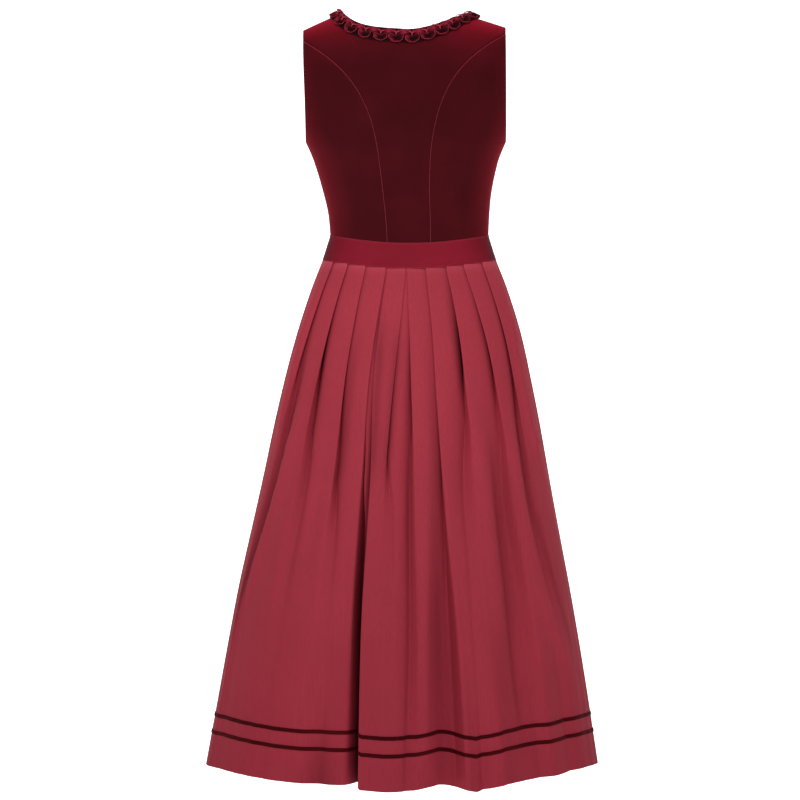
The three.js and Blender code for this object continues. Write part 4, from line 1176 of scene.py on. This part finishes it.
def between(folds, i, down, stride):
    """The points across the face between a fold and the next one."""
    (faces, swell, corners), (next_faces, next_swell, next_corners) = folds[i:i + 2]
    start, end = corners[-1], next_corners[0]
    length = (end[0] - start[0]) * stride
    close = np.minimum(mix(*FACE_ROOM, ease(down, 0.1, 0.8)), 0.2 * length) / length
    made = []
    for share in (close, *FACE_STEPS, 1 - close):
        if faces > 0 and next_faces > 0:
            depth = mix(start[1], end[1], 1 - (1 - share) ** swell)
        elif faces < 0 and next_faces < 0:
            depth = mix(end[1], start[1], 1 - share**next_swell)
        else:
            depth = mix(start[1], end[1], share)
        if faces > 0 and next_faces < 0:
            lift = SLIT_LIFT * (1 - ease(down, 0.4, 0.54)) if i + 1 == SLIT else SLIT_LIFT
            depth = depth * (1 - lift * np.minimum(1, share * 8) * (1 - share**3))
        made.append((mix(start[0], end[0], share), depth))
    return made


def seam_controls(down, first, last, before, after):
    """The points that steer the cloth's line at each level, as angles and depths: from the seam at
    before, over the folds from first to last, to the seam at after."""
    folds = folds_at(down)
    middle = np.radians(FOLDS[first:last, 4].mean()) * np.ones_like(down)
    _, stride = outward_at(skirt_height(down), middle)
    controls = []
    for i in range(first, last):
        controls += folds[i][2]
        if i + 1 < last:
            controls += between(folds, i, down, stride)
    controls = np.array(controls).transpose(2, 0, 1)
    left, right = (
        [mix(controls[:, [end]], np.array([seam, 0]), share) for share in SEAM_RUN]
        for end, seam in ((0, before), (-1, after)))
    return np.concatenate(left[::-1] + [controls] + right, axis=1)


def smooth_line(controls):
    """A cubic B-spline along the second axis, level by level, from end to end."""
    ends = np.concatenate([
        2 * controls[:, :1] - controls[:, 1:2], controls, 2 * controls[:, -1:] - controls[:, -2:-1]], axis=1)
    steps = np.linspace(0, 1, SAMPLES, endpoint=False)[:, None]
    p0, p1, p2, p3 = (ends[:, k:len(ends[0]) - 3 + k, None] for k in range(4))
    line = ((1 - steps) ** 3 * p0 + (3 * steps**3 - 6 * steps**2 + 4) * p1
            + (-3 * steps**3 + 3 * steps**2 + 3 * steps + 1) * p2 + steps**3 * p3) / 6
    line = line.reshape(len(controls), -1, 2)
    return np.concatenate([line, controls[:, -1:]], axis=1)


def crease_sum(table, angle, down, stride):
    total = np.zeros_like(angle)
    for start, middle, end, high, low, rise, before, after in table:
        along = np.clip((down - high) / (low - high), 0, 1)
        place = start + (4 * middle - 3 * start - end) * along + (2 * start - 4 * middle + 2 * end) * along**2
        fade = ease(along, 0, 0.3) * (1 - ease(along, 0.7, 1)) if low <= 1 else ease(along, 0, 0.4)
        fade = fade * (down > high)
        off = (angle - np.radians(place)) * stride / MM
        width = np.where(off < 0, before, after)
        sharp, rounded = np.exp(1 - np.sqrt(1 + (off / width) ** 2)), np.exp(-((off / width) ** 2))
        total = total + rise * fade * np.where(width < SHARP_UNDER, sharp, rounded)
    return total


rng = np.random.default_rng(11)
sway_speed = rng.uniform(5, 11, SWAYS)
sway_start = rng.uniform(0, 2 * math.pi, SWAYS)
ripple_speed = rng.uniform(26, 62, RIPPLES)


def sway(angle, down):
    """The slight unevenness of hung cloth, growing towards the hem."""
    wave = 0
    for k in range(SWAYS):
        wave = wave + np.sin(sway_speed[k] * angle * 1.7 + 5 * down * (k - 3) + sway_start[k]) / SWAYS
    for k in range(RIPPLES):
        wave = wave + 0.07 * np.sin(ripple_speed[k] * angle + 3 * down * (k - 2) + sway_start[k])
    return wave * ease(down, 0.15, 0.9)


# How much higher the hem hangs, in millimetres, at each place in degrees from the centre back.
HEM_RISES = np.array([
    (-180, 0), (-110, 2), (-90, 1), (-72, 4), (-55, 3), (-44, 0.5), (-34, -0.5), (-26, 0), (-18, 3),
    (-14.5, 5), (-13, 0), (0, 0), (4, 1), (8, 4.5), (12, 6.5), (16, 3), (19.5, -2), (23.5, -7),
    (27.5, -3), (32, 4), (38, 5), (70, 8), (90, 3), (110, 2), (180, 0),
])

# Where the cloth beside a crease lies in its shade: places and widths as for the creases, with the
# strength of the shade, up to one, in the place of the rise.
SHADES = np.array([
    (-60, -68.5, -80, .12, .82, .51, 13, 6),       # outside the long crease on the left
    (60, 60.5, 78, .20, .86, .27, 5, 8),           # and outside the one on the right
    (44, 43, 42, .3, .8, .12, 18, 18),
    (30, 33, 36, .44, 1.5, .1, 24, 26),
    (-15, -14.2, -13.8, .06, .46, .3, 7, 8),       # the recess above the slit
    (-5.5, -7, -9, .08, .46, .3, 5, 8),
    (9.6, 12.2, 13.6, .04, .90, .2, 10, 6),
    (-.5, .5, 1, .1, .66, .18, 8, 6),
    (-28.5, -27.5, -28, .1, .48, .2, 5, 9),
    (-46.5, -47, -48, .1, .56, .16, 5, 8),
])

# Depths at which any fold starts to shade its cloth, and does wholly, at the band and at the hem.
DEEP_SHADE = np.array([(3 * MM, 9 * MM), (27 * MM, 64 * MM)])


def skirt_points(down, line):
    """Places of the cloth's middle, from its line's angles and depths, and the painted shade of each, from
    nothing to one: deeper in a fold is darker, and the shade table adds more."""
    angle, depth = line[..., 0], line[..., 1]
    level = np.broadcast_to(down[:, None], angle.shape)
    z = skirt_height(level)
    away, stride = outward_at(z, angle)
    depth = depth + MM * crease_sum(CREASES, angle, level, stride) + SWAY * sway(angle, level)
    starts, wholly = (mix(DEEP_SHADE[0, k], DEEP_SHADE[1, k], ease(level, 0.1, 0.6)) for k in range(2))
    sunk = np.clip((-depth - starts) / (wholly - starts), 0, 1)
    shade = crease_sum(SHADES, angle, level, stride) + sunk**1.3
    points = lower_section(z, angle) + away * depth[..., None]
    points[..., 2] += np.interp(np.degrees(angle), *HEM_RISES.T) * MM * ease(level, 0.5, 1)
    return points, np.clip(shade, 0, 1)


PAINTED_SHADE_HEIGHTS = (-0.405, -1.25)               # heights between which the colour is painted darker towards the hem, a painted shade


def weave_material():
    material, tree, shader = new_material("skirt_weave")
    tone = place_tone(tree, 7, 700, 0.35)
    here = object_place(tree)
    stretched = add(tree, "ShaderNodeMapping", Vector=here, Scale=(420, 420, 14))
    slub = add(
        tree, "ShaderNodeTexNoise", Vector=stretched.outputs["Vector"], Scale=1, Detail=2).outputs["Fac"]
    height = add(tree, "ShaderNodeSeparateXYZ", Vector=here).outputs["Z"]
    top, foot = PAINTED_SHADE_HEIGHTS
    fall = add(tree, "ShaderNodeMapRange", Value=height, From_Min=top, From_Max=foot).outputs["Result"]
    # Painted shade: darker from the band down to the hem, with a painted highlight just below the band.
    cloth_colour = shade_ramp(tree, fall, (0, "BC4656"), (0.018, "AF3B49"), (0.4, "A03542"), (1, "8D2B38"))
    mottle = add(tree, "ShaderNodeMix", i0=0.45, i2=tone, i3=slub).outputs[0]
    uneven = add(
        tree, "ShaderNodeMapRange", Value=mottle, From_Min=0.25, From_Max=0.75, To_Min=0.86, To_Max=1.11)
    # Painted shade in folds and recesses, read from the point value named shade.
    sunk = add(tree, "ShaderNodeMapRange", Value=point_value(tree, "shade"), To_Min=1, To_Max=0.05)
    light = add(
        tree, "ShaderNodeMath", {"operation": "MULTIPLY"},
        i0=uneven.outputs["Result"], i1=sunk.outputs["Result"])
    tint = add(tree, "ShaderNodeVectorMath", {"operation": "SCALE"}, i0=cloth_colour, Scale=light.outputs["Value"])
    feed(tree, shader, Base_Color=tint.outputs["Vector"], Roughness=0.72, Specular_IOR_Level=0.03)
    bumped(tree, shader, slub, 0.22, 0.0004)
    return material


weave = weave_material()
skirt_down = np.concatenate([np.linspace(0, 0.5, 62), np.linspace(0.5, 1, 46)[1:]])      # rows of points
SKIRT_LIP = 0.8 * MM
side_left, side_right = -math.pi / 2, math.pi / 2
seam_turn = -0.0006                      # the widths meet with a hair of overlap, in radians
WIDTHS = {
    "skirt_front_left": (0, 6, -math.pi + seam_turn, side_left - seam_turn),
    "skirt_back": (6, 19, side_left + seam_turn, side_right - seam_turn),
    "skirt_front_right": (19, 25, side_right + seam_turn, math.pi - seam_turn),
}


def with_lips(grid, lip):
    """Adds close rows and columns at the edges, so that the rim rolls over neatly."""
    for _ in range(2):
        first = [mix(grid[0], grid[1], share) for share in (0.05, 0.2, 0.5)]
        last = [mix(grid[-1], grid[-2], share) for share in (0.5, 0.2, 0.05)]
        grid = np.stack([grid[0], *first, *grid[1:-1], *last, grid[-1]]).transpose(1, 0, 2)
    return grid


for name, (first, last, before, after) in WIDTHS.items():
    line = smooth_line(seam_controls(skirt_down, first, last, before, after))
    points, shade = skirt_points(skirt_down, line)
    grid = with_lips(np.concatenate([points, shade[..., None]], axis=-1), SKIRT_LIP)
    width = cloth_shell(
        f"{name}_weave", grid[..., :3], SKIRT_CLOTH, SKIRT_LIP, [weave], shade=grid[..., 3])
    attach(width, "root")
    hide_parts(name)


# ---------------------------------------------------------------- ribbons on the skirt
# Two narrow dark velvet ribbons, sewn flat round the skirt above the hem, so they follow every fold.

RIBBON_WIDTH = 6.5 * MM
RIBBON_CLOTH = 1 * MM
RIBBON_HEIGHTS = {"ribbon_upper": 87 * MM, "ribbon_lower": 58 * MM}

# 5A0E18 is the colour of the ribbons' painted sheen and painted highlight.
ribbon_velvet = velvet_material(
    "ribbon_velvet", [(0.3, "300407"), (0.5, "3A0508"), (0.72, "48080C")], "5A0E18", "8A1A2A", 0.5)
for name, above in RIBBON_HEIGHTS.items():
    share = above / (BAND_FOOT - HEM)
    half = RIBBON_WIDTH / 2 / (BAND_FOOT - HEM)
    ribbon_down = 1 - share + np.linspace(-half, half, 9)
    strips = []
    for first, last, before, after in WIDTHS.values():
        line = smooth_line(seam_controls(ribbon_down, first, last, before, after))
        strips.append(skirt_points(ribbon_down, line)[0])
    middle = np.concatenate(strips, axis=1)
    normals = grid_normals(middle, from_axis)
    middle = middle + normals * (SKIRT_CLOTH / 2 + RIBBON_CLOTH / 2 + 0.1 * MM)
    ribbon = cloth_shell(f"{name}_velvet", middle, RIBBON_CLOTH, 0.8 * MM, [ribbon_velvet])
    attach(ribbon, "root")
    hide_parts(name)


# ---------------------------------------------------------------- hooks and eyes
# Seven small hooks and eyes of blackened steel wire close the front; they keep their plain form.

iron = toned_material(
    "blackened_steel", (300, 3000, 0.5), ("1B1A1C", "2C2A2C"), (0.2, 0.0002), Metallic=0.9, Roughness=0.42)
for thing in bpy.data.objects:
    if thing.type == "MESH" and thing.name.split("_")[0] in ("hook", "eye"):
        for place in thing.material_slots:
            place.material = iron

size = {"cad": [list(corner) for corner in cad_box], "visual": [list(corner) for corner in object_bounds()]}
